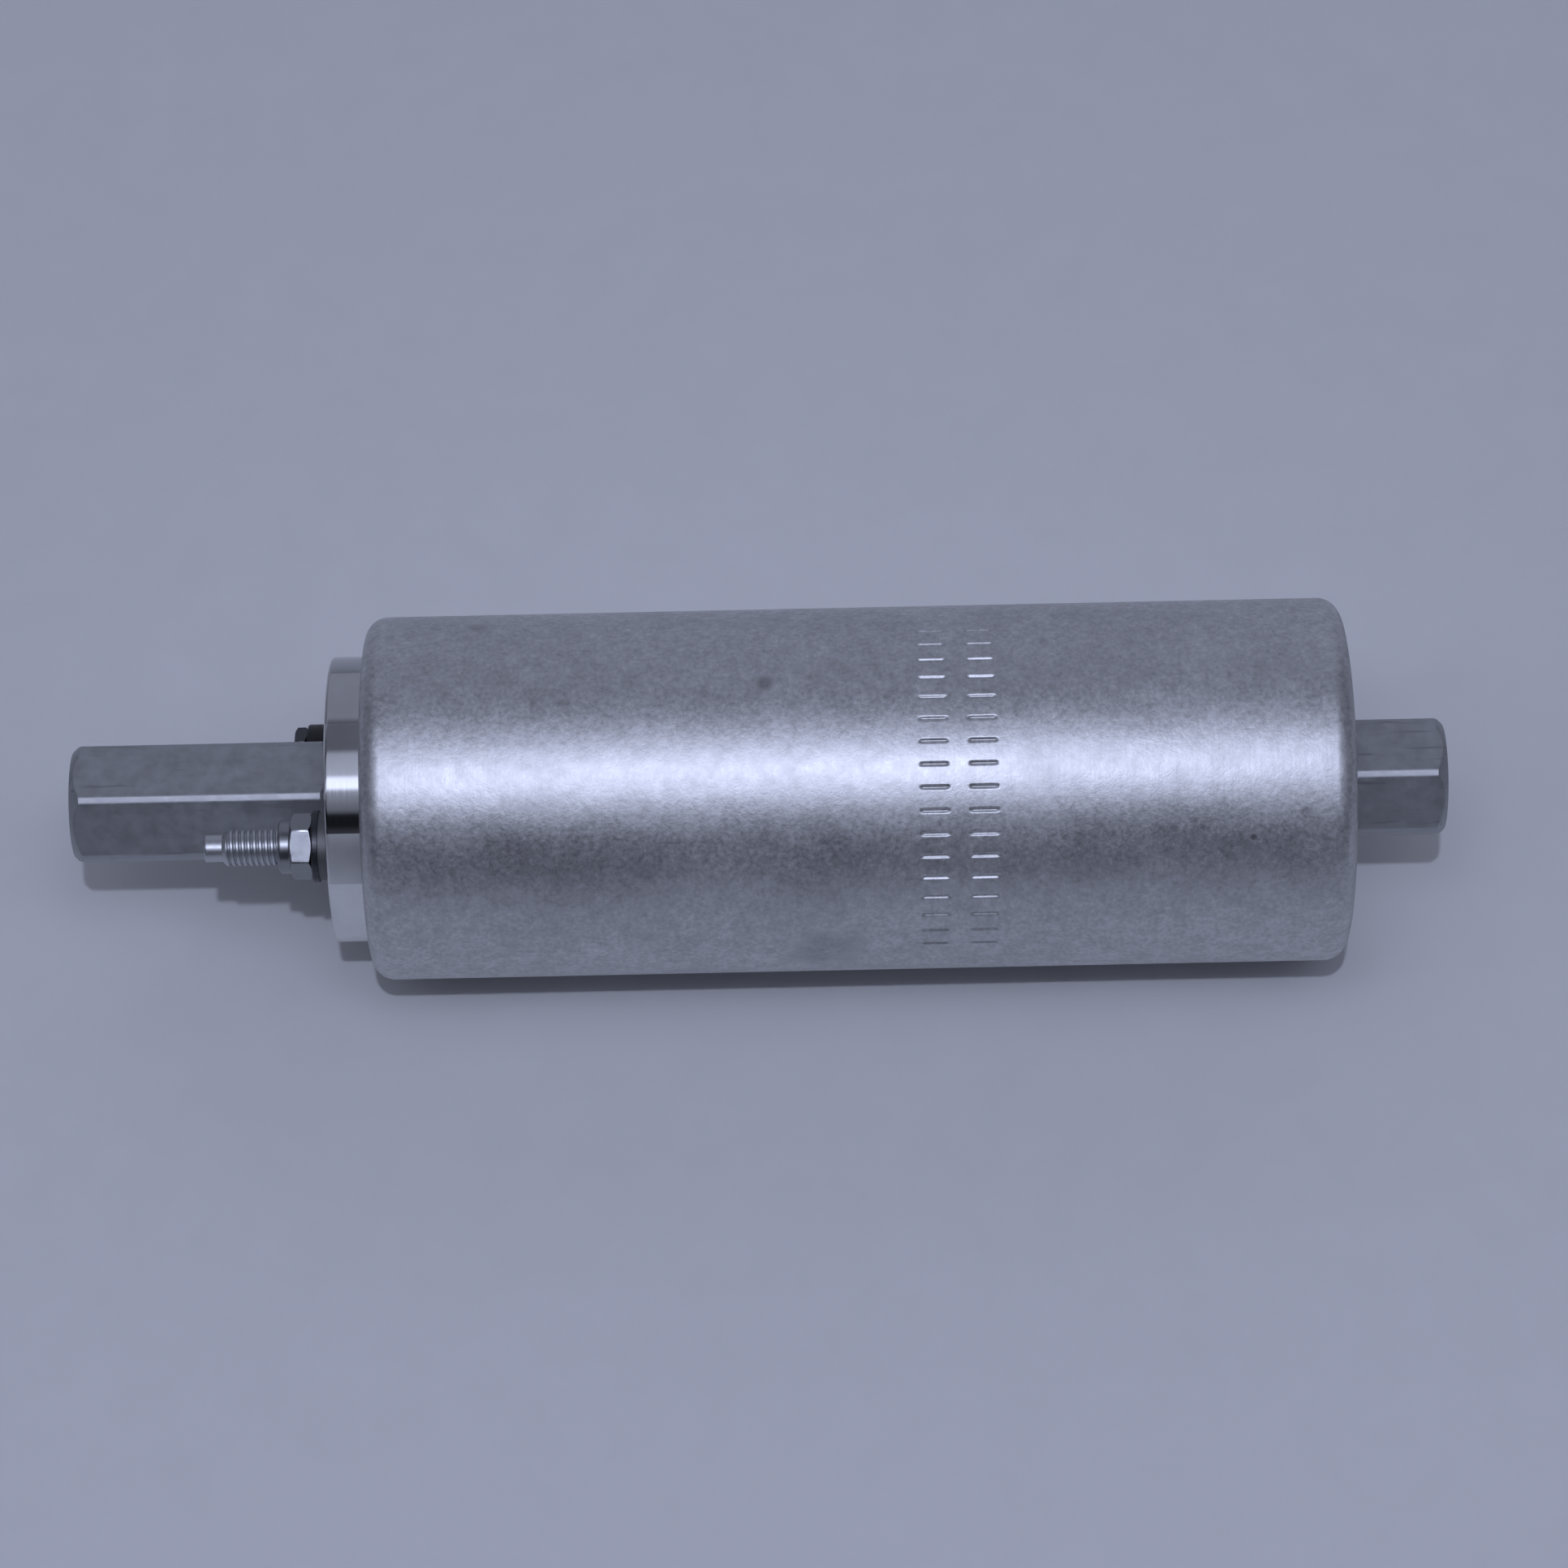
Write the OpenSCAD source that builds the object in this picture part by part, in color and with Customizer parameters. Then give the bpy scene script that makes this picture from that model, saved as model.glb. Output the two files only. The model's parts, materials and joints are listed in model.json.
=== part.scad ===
// Inline electric fuel pump: a drawn aluminium can round a gerotor pump and a brushed motor.
// The pump's axis is X, with the inlet at +X and the outlet and both terminals at -X.
// The origin is on the axis, half way along the can.

/* [Can] */
// Outside diameter of the can
shell_d = 50.8; // [49:0.1:56]
// Length of the can, from its flat inlet land to its rolled outlet lip
shell_l = 136.6; // [128:0.1:170]
// Wall thickness of the can
shell_wall = 1.8; // [1.4:0.1:2.2]
// Outside corner radius at both ends of the can
shell_corner_r = 3; // [2.4:0.1:4]
// Height by which the inlet end bulges out to its land
dome_h = 0.65; // [0.2:0.05:1.2]
// Width of the flat land left round the inlet fitting's hex
land_margin = 0.6; // [0.2:0.1:2]
// Radial clearance between the can and the stack of pieces inside it
stack_gap = 0.1; // [0.05:0.01:0.2]

/* [Outlet cap] */
// Diameter of the turned boss that stands out of the can
boss_d = 40; // [39:0.1:42]
// Height of the boss above the rolled lip
boss_h = 5; // [3:0.1:8]
// Radius on the boss's rim
boss_rim_r = 0.6; // [0.3:0.1:1.2]
// Gap between the boss and the rolled lip
lip_gap = 0.1; // [0.05:0.01:0.3]
// Least flat width left on the rolled lip beside its corner
lip_land = 0.5; // [0.2:0.1:1]
// Length of the cap's flange inside the can
cap_flange_l = 9.9; // [8:0.1:12]
// Section diameter of the cap's O-ring
cap_seal_d = 2.4; // [1.8:0.1:2.6]
// Clearance on each side of the O-ring in its groove
seal_side_gap = 0.2; // [0.1:0.05:0.4]
// Radius of the outlet chamber in the cap's inner face
cap_chamber_r = 8; // [7:0.1:9]
// Depth of the outlet chamber and of its two flow grooves
cap_chamber_l = 4; // [3:0.1:5]
// Width of the flow grooves
cap_groove_w = 5.6; // [4:0.1:6]

/* [Port fittings] */
// Width across the flats of both port hexes
hex_af = 15.875; // [15:0.025:17]
// Turned corner radius of both port hexes
hex_corner_r = 8.9; // [8.7:0.05:9.2]
// Length of the outlet hex
outlet_hex_l = 35.6; // [32:0.1:40]
// Length of the inlet hex
inlet_hex_l = 13.6; // [12.4:0.1:20]
// Length of the chamfer on a hex's outer end
hex_chamfer_l = 1.5; // [0.5:0.1:2.5]
// Depth of that chamfer
hex_chamfer_h = 1.5; // [0.5:0.1:2]
// Chamfer at a hex's inner end
hex_shoulder_chamfer = 0.5; // [0.2:0.1:1]
// Radius of the port thread
port_r = 5; // [4.5:0.05:5.2]
// Depth of the port thread
port_l = 12; // [10:0.1:12.2]
// Chamfer at the mouth of the port
port_chamfer = 0.8; // [0.4:0.1:1]
// Radius of the outlet fitting's spigot in the cap
outlet_spigot_r = 6; // [5.6:0.05:6.4]
// Radius of the inlet fitting's spigot in the inlet housing
inlet_spigot_r = 7; // [6.6:0.05:7.4]
// Radius of the passage through the inlet spigot
inlet_passage_r = 3.6; // [3:0.1:4.2]
// Thickness of the seal washer under the outlet hex
seal_washer_t = 0.9; // [0.5:0.1:1.5]
// Outside radius of the seal washer
seal_washer_r = 8.3; // [7.6:0.05:8.8]
// Section diameter of the O-ring round the inlet spigot
inlet_seal_d = 1.8; // [1.4:0.1:2]
// Clearance of screwed and pressed fits
fit_gap = 0.05; // [0.02:0.01:0.1]

/* [Check valve] */
// Distance of the valve seat from the outlet hex's shoulder
seat_back = 4.5; // [3:0.1:6]
// Radius of the valve seat's bore
seat_r = 2.6; // [2:0.05:2.8]
// Radius of the valve chamber
valve_chamber_r = 4.2; // [4:0.05:4.4]
// Radius of the check ball
check_ball_r = 3.3; // [3.1:0.05:3.5]
// Mean radius of the check spring's coil
check_coil_r = 2.2; // [2:0.05:2.4]
// Radius of the check spring's wire
check_wire_r = 0.3; // [0.2:0.02:0.35]
// Turns of the check spring
check_turns = 6; // [5:1:8]
// Thickness of the spring retainer
retainer_t = 2; // [1.5:0.1:3]
// Radius of the retainer's middle hole
retainer_hole_r = 1.2; // [0.8:0.1:1.4]
// Radius of the retainer's outer flow holes
retainer_flow_r = 0.75; // [0.5:0.05:0.8]

/* [Terminals] */
// Angle of the negative stud round the axis, from +Y toward +Z
stud_angle = 150; // [145:1:155]
// Gap between the outlet hex's flat and the negative nut's corner
stud_gap = 1.7; // [1:0.1:2.5]
// Thread radius of the negative stud
neg_stud_r = 2.5; // [2.2:0.05:2.6]
// Length of the negative stud outside the cap's face
neg_stud_l = 17.1; // [15:0.1:22]
// Radius of the stud's plain point
point_r = 1.9; // [1.4:0.05:1.95]
// Length of the stud's plain point
point_l = 2.5; // [1:0.1:3]
// Height of the raised pad under the negative washer
pad_h = 1.2; // [0.5:0.1:2]
// Radius of the raised pad
pad_r = 4.7; // [4.6:0.1:5.4]
// Outside radius of the negative washer
washer_r = 5; // [4.4:0.1:5.2]
// Thickness of the negative washer
washer_t = 0.9; // [0.6:0.1:1.6]
// Width across the flats of the negative lock nut
neg_nut_af = 8; // [7.8:0.1:8.4]
// Angle by which the tightened lock nut is turned
neg_nut_turn = 33; // [0:1:59]
// Height of the lock nut's hex
neg_nut_h = 3; // [2.6:0.1:4.5]
// Height of the lock nut's round collar
collar_h = 1.7; // [1.4:0.1:2.4]
// Outside radius of the collar
collar_r = 3.7; // [3.5:0.05:3.85]
// Outside radius of the nylon ring in the collar
insert_r = 3.15; // [2.9:0.05:3.2]
// Height of the nylon ring
insert_h = 1.2; // [0.8:0.1:1.3]
// Thread radius of the positive stud
pos_stud_r = 2; // [1.8:0.05:2.1]
// Length of the positive stud outside the cap's face
pos_stud_l = 16; // [14:0.1:20]
// Outside radius of the insulator's flange
insulator_r = 4.4; // [3.9:0.1:4.8]
// Thickness of the insulator's flange
insulator_t = 4.7; // [3:0.1:5.5]
// Radius of the insulator's sleeve through the cap
sleeve_r = 3.2; // [2.8:0.05:3.3]
// Width across the flats of the positive jam nut
pos_nut_af = 7; // [6.6:0.1:7.4]
// Angle by which the tightened jam nut is turned
pos_nut_turn = 33; // [0:1:59]
// Height of the positive jam nut
pos_nut_h = 1.8; // [1.5:0.1:3]
// Radius of both studs' heads inside the cap
stud_head_r = 3.4; // [3:0.05:3.6]
// Thickness of the studs' heads
stud_head_t = 1.7; // [1.2:0.1:1.9]
// Thickness of the insulating washer under the positive head
inner_washer_t = 0.8; // [0.5:0.1:0.9]
// Radial width of insulation round the positive head
head_margin = 0.8; // [0.5:0.05:1]

/* [Brush gear] */
// Length of the moulded brush holder
holder_l = 18; // [17.6:0.1:20]
// Angle of the upper brush round the axis, from +Y toward +Z
brush_angle = 90; // [85:1:95]
// Brush size along the axis
brush_w = 5; // [4:0.1:5.2]
// Brush size across the axis
brush_t = 6; // [5:0.1:6.4]
// Brush length along the radius
brush_l = 8; // [6:0.1:8.4]
// Wall of the brass brush tubes
tube_wall = 0.6; // [0.4:0.05:0.7]
// Sliding clearance of a brush in its tube
brush_gap = 0.1; // [0.05:0.01:0.15]
// Mean radius of the brush springs' coil
brush_coil_r = 1.7; // [1.4:0.05:1.9]
// Radius of the brush springs' wire
brush_wire_r = 0.2; // [0.15:0.01:0.25]
// Turns of a brush spring
brush_turns = 5; // [4:1:7]
// Thickness of the copper strap from choke to brush
strap_t = 0.8; // [0.5:0.1:1]
// Width of the copper strap
strap_w = 3; // [2:0.1:3.4]
// Radius of the strap's eye on the choke's lead
strap_eye_r = 2.2; // [1.9:0.1:2.3]
// Depth of the strap below the brush holder's motor face
strap_depth = 2.5; // [1.8:0.1:2.8]
// Clearance round the strap and the tubes in the holder
pocket_gap = 0.1; // [0.05:0.01:0.2]
// Radius of the choke rods
choke_r = 1.5; // [1.2:0.05:1.8]
// Length of the choke rods
choke_l = 10; // [8:0.1:11]
// Radius of the choke wire
choke_wire_r = 0.4; // [0.3:0.02:0.5]
// Turns on each choke
choke_turns = 8; // [6:1:9]
// Radius of the chokes' end leads
lead_r = 0.6; // [0.4:0.05:0.8]
// Radius of the holder's two flow holes
holder_flow_r = 2.7; // [2:0.1:2.8]

/* [Motor] */
// Radius of the armature shaft
shaft_r = 2; // [1.8:0.05:2.2]
// Running clearance of the shaft in its bushes
run_gap = 0.04; // [0.02:0.01:0.08]
// End play at each thrust face
end_play = 0.1; // [0.05:0.01:0.2]
// Outside radius of the bush at the brush end
brush_bush_r = 4; // [3.5:0.1:4.5]
// Length of the bush at the brush end
brush_bush_l = 5; // [4:0.1:5.4]
// Outside radius of the bush at the pump end
pump_bush_r = 3.5; // [3.2:0.1:4]
// Length of the boss that holds the pump-end bush
pump_boss_l = 5; // [3:0.1:6]
// Outside radius of that boss
pump_boss_r = 6; // [5.4:0.1:7]
// Thickness of the thrust washers
thrust_t = 0.8; // [0.5:0.1:1]
// Outside radius of the thrust washers
thrust_r = 3.3; // [3:0.1:3.6]
// Radius of the commutator bars
comm_r = 7.5; // [7:0.1:7.8]
// Radius of the commutator's moulded hub
comm_hub_r = 5; // [4.4:0.1:5.4]
// Length of the commutator's hub
comm_l = 11; // [10.4:0.1:11.4]
// Amount by which the bars are shorter than the hub at each end
comm_end = 0.6; // [0.3:0.1:1]
// Width of the slots between the bars
comm_slot_w = 0.6; // [0.4:0.05:0.8]
// Number of bars, and of slots in the core
bar_count = 10; // [8:1:11]
// Clearance round the commutator in the brush holder
comm_gap = 0.8; // [0.5:0.1:1]
// Radius of the armature core
core_r = 13.5; // [13:0.1:14]
// Length of the armature core
core_l = 48; // [40:0.5:52]
// Radius of the winding slots
slot_r = 1.9; // [1.6:0.05:2]
// Radius at which the winding slots lie
slot_pitch_r = 9.4; // [9:0.1:9.8]
// Width of the slot openings
slot_mouth_w = 1.2; // [0.8:0.1:1.6]
// Clearance between wire and slot
slot_gap = 0.1; // [0.05:0.01:0.15]
// Thickness of the core's end insulators
end_insulator_t = 1; // [0.6:0.1:1.5]
// Radius of the insulating sleeves on the shaft
spacer_r = 3.2; // [3:0.1:3.6]
// Length of the winding's end turns
end_turn_l = 8; // [6:0.1:8.6]
// Inside radius of the end turns
end_turn_in_r = 5; // [4.4:0.1:5.6]
// Outside radius of the end turns
end_turn_r = 12.2; // [11.8:0.1:12.6]
// Corner radius of the end turns
end_turn_corner_r = 2; // [1:0.1:2.6]
// Air gap between core and magnets
air_gap = 0.7; // [0.5:0.05:1]
// Amount by which the magnets overhang the core at each end
magnet_overhang = 2; // [0:0.1:3]
// Angle that each magnet spans
magnet_span = 130; // [110:1:140]
// Wall of the steel flux ring
flux_wall = 2.6; // [2.2:0.1:2.8]
// Thickness of the spring clips between the magnets
clip_t = 0.7; // [0.4:0.05:0.9]
// Depth of the clips' legs beside the magnets
clip_leg = 4; // [2:0.1:5]

/* [Gerotor pump] */
// Length of the gerotor set's ring
ring_l = 8; // [7:0.1:10]
// Thickness of the port plate on the motor side
outlet_plate_t = 4; // [3.4:0.1:5]
// Thickness of the port plate on the inlet side
inlet_plate_t = 2; // [1.6:0.1:3]
// Length of the inlet housing
housing_l = 13.25; // [12.6:0.05:15]
// Radius at which the outer rotor's lobe centres lie
lobe_pitch_r = 11.5; // [11.3:0.05:11.6]
// Radius of the outer rotor's lobes
lobe_r = 3; // [2.9:0.05:3.2]
// Offset of the outer rotor's axis along +Y
rotor_offset = 1.2; // [1.1:0.02:1.24]
// Clearance between the two rotors' teeth
mesh_gap = 0.06; // [0.05:0.01:0.1]
// Clearance over the outer rotor's roots
root_gap = 0.1; // [0.05:0.01:0.2]
// Outside radius of the outer rotor
rotor_r = 14; // [13.6:0.1:14.4]
// Clearance at the rotors' faces
face_gap = 0.05; // [0.03:0.01:0.08]
// Width across the flats of the drive coupling
coupling_af = 7; // [6.4:0.1:7.6]
// Distance of the shaft's drive flat from the axis
flat_r = 1.4; // [1.2:0.05:1.6]
// Inside radius of the kidney ports
kidney_in_r = 8; // [7.6:0.1:8.4]
// Outside radius of the kidney ports
kidney_r = 11; // [10.6:0.1:11.4]
// Angle that a kidney port spans
kidney_span = 130; // [90:1:140]
// Radius of the inlet chamber in the housing
inlet_chamber_r = 13.2; // [12:0.1:13.6]
// Depth of the inlet chamber
inlet_chamber_l = 4; // [3:0.1:4.6]
// Radius of the pump dowels
dowel_r = 1.5; // [1.2:0.05:1.7]
// Depth of the dowels in the inlet housing
dowel_depth = 5; // [3:0.1:6]
// Thread radius of the pump screws
screw_r = 1.5; // [1.2:0.05:1.6]
// Radius of the pump screws' heads
screw_head_r = 2.75; // [2.4:0.05:2.9]
// Height of the pump screws' low heads, which are sunk in the plate
screw_head_h = 2; // [1.6:0.1:2.4]
// Wall left outside the screws' heads and the dowels
rim_wall = 0.8; // [0.6:0.1:1]
// Depth of the screws in the inlet housing
screw_depth = 8; // [6:0.1:9]
// Width across the flats of the screws' sockets
screw_socket_af = 2; // [1.6:0.1:2.5]
// Depth of the screws' sockets
screw_socket_l = 1.2; // [0.8:0.1:1.4]

/* [Relief valve] */
// Radius of the relief ball
relief_ball_r = 2.3; // [2.1:0.05:2.4]
// Radius of the relief passage and seat
relief_seat_r = 1.4; // [1.1:0.05:1.5]
// Radius of the bore that holds the ball and spring
relief_bore_r = 2.7; // [2.5:0.05:2.8]
// Length of that bore
relief_bore_l = 10; // [9:0.1:11]
// Radius of the return hole to the inlet chamber
relief_return_r = 1.1; // [0.8:0.05:1.3]
// Mean radius of the relief spring's coil
relief_coil_r = 1.5; // [1.3:0.05:1.7]
// Radius of the relief spring's wire
relief_wire_r = 0.25; // [0.18:0.01:0.3]
// Turns of the relief spring
relief_turns = 5; // [4:1:6]
// Gap that the model keeps under a seated ball or spring
seat_gap = 0.03; // [0.02:0.01:0.05]

/* [Hidden] */
$fn = 96;

// Overshoot of a cut past the face it opens
cut = 1;
// Steps round a quarter corner, and along the bulge of the inlet end
corner_steps = 12;
dome_steps = 8;
// Sides of a spring's wire, and its steps in one turn
wire_sides = 6;
coil_steps = 12;
// Lobes of the two rotors, points along one inner lobe, and how far those points crowd into the roots
inner_lobes = 6;
outer_lobes = inner_lobes + 1;
lobe_points = 24;
root_crowding = 0.8;
// Angles of the pump's screws, dowels, relief valve and flow holes
screw_angles = [60, 180, 300];
dowel_angles = [0, 120];
relief_angle = 240;
flow_angles = [stud_angle - 120, stud_angle + 60];

// Radii
shell_r = shell_d / 2;
shell_in_r = shell_r - shell_wall;
stack_r = shell_in_r - stack_gap;
boss_r = boss_d / 2;
lip_r = boss_r + lip_gap;
lip_corner_r = min(shell_corner_r, shell_r - lip_r - lip_land);
cap_groove_r = shell_in_r - cap_seal_d - 2 * seat_gap;
hex_r = hex_af / 2 / cos(30);
land_r = min(hex_r, hex_corner_r) + land_margin;
flux_in_r = stack_r - flux_wall;
magnet_r = flux_in_r - fit_gap;
magnet_in_r = core_r + air_gap;
neg_nut_r = neg_nut_af / 2 / cos(30);
stud_pitch_r = hex_af / 2 + stud_gap + neg_nut_r;
head_bore_r = stud_head_r + head_margin;
comm_bore_r = comm_r + comm_gap;
screw_pitch_r = stack_r - rim_wall - screw_head_r;
dowel_pitch_r = stack_r - rim_wall - dowel_r;
relief_pitch_r = inlet_chamber_r + relief_bore_r + relief_return_r;
root_r = lobe_pitch_r + 2 * rotor_offset - lobe_r + root_gap;

// Stations of the can and the stack, from the inlet to the outlet
x_inlet_face = shell_l / 2;
x_outlet_face = -shell_l / 2;
x_inlet_in = x_inlet_face - dome_h - shell_wall;
x_lip_in = x_outlet_face + shell_wall;
x_housing = x_inlet_in - housing_l;
x_ring_1 = x_housing - inlet_plate_t;
x_ring_0 = x_ring_1 - ring_l;
x_plate = x_ring_0 - outlet_plate_t;
x_cap_in = x_lip_in + cap_flange_l;
x_holder = x_cap_in + holder_l;
x_boss_face = x_outlet_face - boss_h;

// Stations of the ports
x_outlet_shoulder = x_boss_face - seal_washer_t;
x_outlet_end = x_outlet_shoulder - outlet_hex_l;
x_outlet_port = x_outlet_end + port_l;
x_cap_chamber = x_cap_in - cap_chamber_l;
x_seat = x_outlet_shoulder - seat_back;
x_check_ball = x_seat - sqrt(pow(check_ball_r, 2) - pow(seat_r, 2)) - seat_gap;
x_retainer = x_outlet_port + retainer_t;
x_inlet_end = x_inlet_face + inlet_hex_l;
x_inlet_chamber = x_housing + inlet_chamber_l;

// Stations of the terminals
x_pad = x_boss_face - pad_h;
x_washer = x_pad - washer_t;
x_neg_nut = x_washer - neg_nut_h;
x_collar = x_neg_nut - collar_h;
x_neg_tip = x_boss_face - neg_stud_l;
x_insulator = x_boss_face - insulator_t;
x_pos_nut = x_insulator - pos_nut_h;
x_pos_tip = x_boss_face - pos_stud_l;
x_head = x_cap_in - stud_head_t;
x_head_bore = x_head - inner_washer_t;

// Stations and radii of the brush gear
x_brush_bush = x_cap_in + brush_bush_l;
x_hub = x_brush_bush + end_play + thrust_t;
x_hub_end = x_hub + comm_l;
x_brush = (x_hub + x_hub_end) / 2;
x_strap = x_holder - strap_depth;
tube_w = brush_w + 2 * brush_gap + 2 * tube_wall;
tube_t = brush_t + 2 * brush_gap + 2 * tube_wall;
tube_r = stack_r - strap_t - 2 * pocket_gap;
brush_in_r = comm_r + end_play;
brush_out_r = brush_in_r + brush_l;
x_choke_0 = (x_cap_in + x_strap - choke_l) / 2;
x_choke_1 = x_choke_0 + choke_l;
choke_coil_r = (choke_r + seat_gap) / cos(180 / coil_steps) + choke_wire_r;
choke_pocket_r = choke_coil_r + choke_wire_r + 2 * pocket_gap;

// Stations of the motor
x_core_mid = (x_holder + x_plate) / 2;
x_core_0 = x_core_mid - core_l / 2;
x_core_1 = x_core_mid + core_l / 2;
x_pump_boss = x_plate - pump_boss_l;
x_thrust = x_pump_boss - end_play - thrust_t;
x_screw_seat = x_plate + screw_head_h + stack_gap;
x_shaft_0 = x_cap_in + end_play;
x_shaft_1 = x_ring_1 - end_play;
x_relief_ball = x_housing + sqrt(pow(relief_ball_r, 2) - pow(relief_seat_r, 2)) + seat_gap;
x_relief_end = x_housing + relief_bore_l;

// Stands the child's Z axis along the pump's axis, with its foot at station x
module at(x) {
    translate([x, 0, 0]) rotate([90, 0, 90]) children();
}

// Moves the child off the axis, to a radius and an angle from +Y toward +Z
module around(r, angle) {
    translate([0, r * cos(angle), r * sin(angle)]) children();
}

// Turns an outline of [radius, station] points about the axis
module turned(outline) {
    at(0) rotate_extrude() polygon(outline);
}

module rod(x0, x1, r) {
    at(x0) cylinder(r = r, h = x1 - x0);
}

module ring(x0, x1, r_out, r_in) {
    turned([[r_in, x0], [r_out, x0], [r_out, x1], [r_in, x1]]);
}

// Sector of a ring between two angles
module sector(x0, x1, r_out, r_in, angle_0, angle_1) {
    at(x0) rotate([0, 0, angle_0]) rotate_extrude(angle = angle_1 - angle_0)
        polygon([[r_in, 0], [r_out, 0], [r_out, x1 - x0], [r_in, x1 - x0]]);
}

module o_ring(x, mid_r, section_d) {
    at(x) rotate_extrude() translate([mid_r, 0]) circle(d = section_d);
}

module hex_bar(x0, x1, af) {
    at(x0) cylinder(d = af / cos(30), h = x1 - x0, $fn = 6);
}

// Block that lies across the axis, from one radius to another at an angle
module radial_block(x0, x1, r0, r1, width, angle) {
    at(x0) rotate([0, 0, angle]) translate([r0, -width / 2, 0]) cube([r1 - r0, width, x1 - x0]);
}

function arc(centre, r, a0, a1) =
    [for (i = [0:corner_steps])
        let (a = a0 + (a1 - a0) * i / corner_steps)
        centre + r * [cos(a), sin(a)]];

// Coil spring of round wire along X, from its first face at x0 to its last at x1
module coil(x0, x1, coil_r, wire_r, turns) {
    steps = turns * coil_steps;
    climb = (x1 - x0 - 2 * wire_r) / steps;
    points = [for (i = [0:steps], k = [0:wire_sides - 1])
        let (a = 360 * i / coil_steps)
        let (b = 360 * k / wire_sides)
        let (r = coil_r + wire_r * cos(b))
        [x0 + wire_r + climb * i + wire_r * sin(b), r * cos(a), r * sin(a)]];
    sides = [for (i = [0:steps - 1], k = [0:wire_sides - 1])
        let (a = i * wire_sides + k)
        let (b = i * wire_sides + (k + 1) % wire_sides)
        each [[a, b, b + wire_sides], [a, b + wire_sides, a + wire_sides]]];
    last = steps * wire_sides;
    first_end = [for (k = [1:wire_sides - 2]) [0, k + 1, k]];
    last_end = [for (k = [1:wire_sides - 2]) [last, last + k, last + k + 1]];
    polyhedron(points, concat(sides, first_end, last_end));
}

// Distance along the axis at which a coil's face rests on a ball
function coil_rest(ball_r, coil_r, wire_r) =
    sqrt(pow(ball_r + wire_r, 2) - pow(coil_r, 2)) - wire_r;

// Can and outlet cap

module shell() {
    corner_x = x_inlet_face - dome_h - shell_corner_r;
    corner_r = shell_r - shell_corner_r;
    slope = atan(2 * dome_h / (corner_r - land_r));
    inlet_corner = arc([corner_r, corner_x], shell_corner_r, 90 - slope, 0);
    drop = x_inlet_face - inlet_corner[0][1];
    bulge = [for (i = [0:dome_steps - 1])
        let (s = i / dome_steps)
        [land_r + (inlet_corner[0][0] - land_r) * s, x_inlet_face - drop * s * s]];
    lip_corner = arc([shell_r - lip_corner_r, x_outlet_face + lip_corner_r], lip_corner_r, 0, -90);
    hole_r = inlet_spigot_r + fit_gap;
    inside = [
        [lip_r, x_outlet_face], [lip_r, x_lip_in], [shell_in_r, x_lip_in],
        [shell_in_r, x_inlet_in], [hole_r, x_inlet_in], [hole_r, x_inlet_face]
    ];
    color("silver") turned(concat(bulge, inlet_corner, lip_corner, inside));
}

module outlet_cap() {
    groove_0 = (x_lip_in + x_cap_in - cap_seal_d) / 2 - seal_side_gap;
    groove_1 = (x_lip_in + x_cap_in + cap_seal_d) / 2 + seal_side_gap;
    bore_r = outlet_spigot_r + fit_gap;
    rim = arc([boss_r - boss_rim_r, x_boss_face + boss_rim_r], boss_rim_r, -90, 0);
    outline = concat([[bore_r, x_boss_face]], rim, [
        [boss_r, x_lip_in], [stack_r, x_lip_in], [stack_r, groove_0],
        [cap_groove_r, groove_0], [cap_groove_r, groove_1], [stack_r, groove_1],
        [stack_r, x_cap_in], [cap_chamber_r, x_cap_in],
        [cap_chamber_r, x_cap_chamber], [bore_r, x_cap_chamber]
    ]);
    groove_end = cap_groove_r - shell_wall;
    color("lightgray") difference() {
        union() {
            turned(outline);
            intersection() {
                around(stud_pitch_r, stud_angle) rod(x_pad, x_lip_in, pad_r);
                ring(x_pad, x_lip_in, boss_r - boss_rim_r, bore_r);
            }
        }
        around(stud_pitch_r, stud_angle) {
            rod(x_pad - cut, x_cap_in, neg_stud_r + fit_gap);
            rod(x_head, x_cap_in + cut, stud_head_r + fit_gap);
        }
        around(stud_pitch_r, stud_angle + 180) {
            rod(x_boss_face - cut, x_cap_in, sleeve_r + fit_gap);
            rod(x_head_bore, x_cap_in + cut, head_bore_r + fit_gap);
        }
        for (angle = flow_angles)
            radial_block(x_cap_chamber, x_cap_in + cut, 0, groove_end, cap_groove_w, angle);
    }
}

module cap_seal() {
    mid_r = shell_in_r - cap_seal_d / 2 - seat_gap;
    color("black") o_ring((x_lip_in + x_cap_in) / 2, mid_r, cap_seal_d);
}

// Port fittings

// Hex with turned corners, from its shoulder to its chamfered outer end
module fitting_hex(x_shoulder, x_end) {
    way = sign(x_end - x_shoulder);
    intersection() {
        hex_bar(min(x_shoulder, x_end), max(x_shoulder, x_end), hex_af);
        turned([
            [0, x_shoulder],
            [hex_corner_r - hex_shoulder_chamfer, x_shoulder],
            [hex_corner_r, x_shoulder + way * hex_shoulder_chamfer],
            [hex_corner_r, x_end - way * hex_chamfer_l],
            [hex_corner_r - hex_chamfer_h, x_end],
            [0, x_end]
        ]);
    }
}

// Threaded port, with a chamfered mouth at x_mouth and its floor at x_floor
module port_cut(x_mouth, x_floor) {
    way = sign(x_mouth - x_floor);
    turned([
        [0, x_floor],
        [port_r, x_floor],
        [port_r, x_mouth - way * port_chamfer],
        [port_r + port_chamfer, x_mouth],
        [port_r + port_chamfer, x_mouth + way * cut],
        [0, x_mouth + way * cut]
    ]);
}

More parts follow.
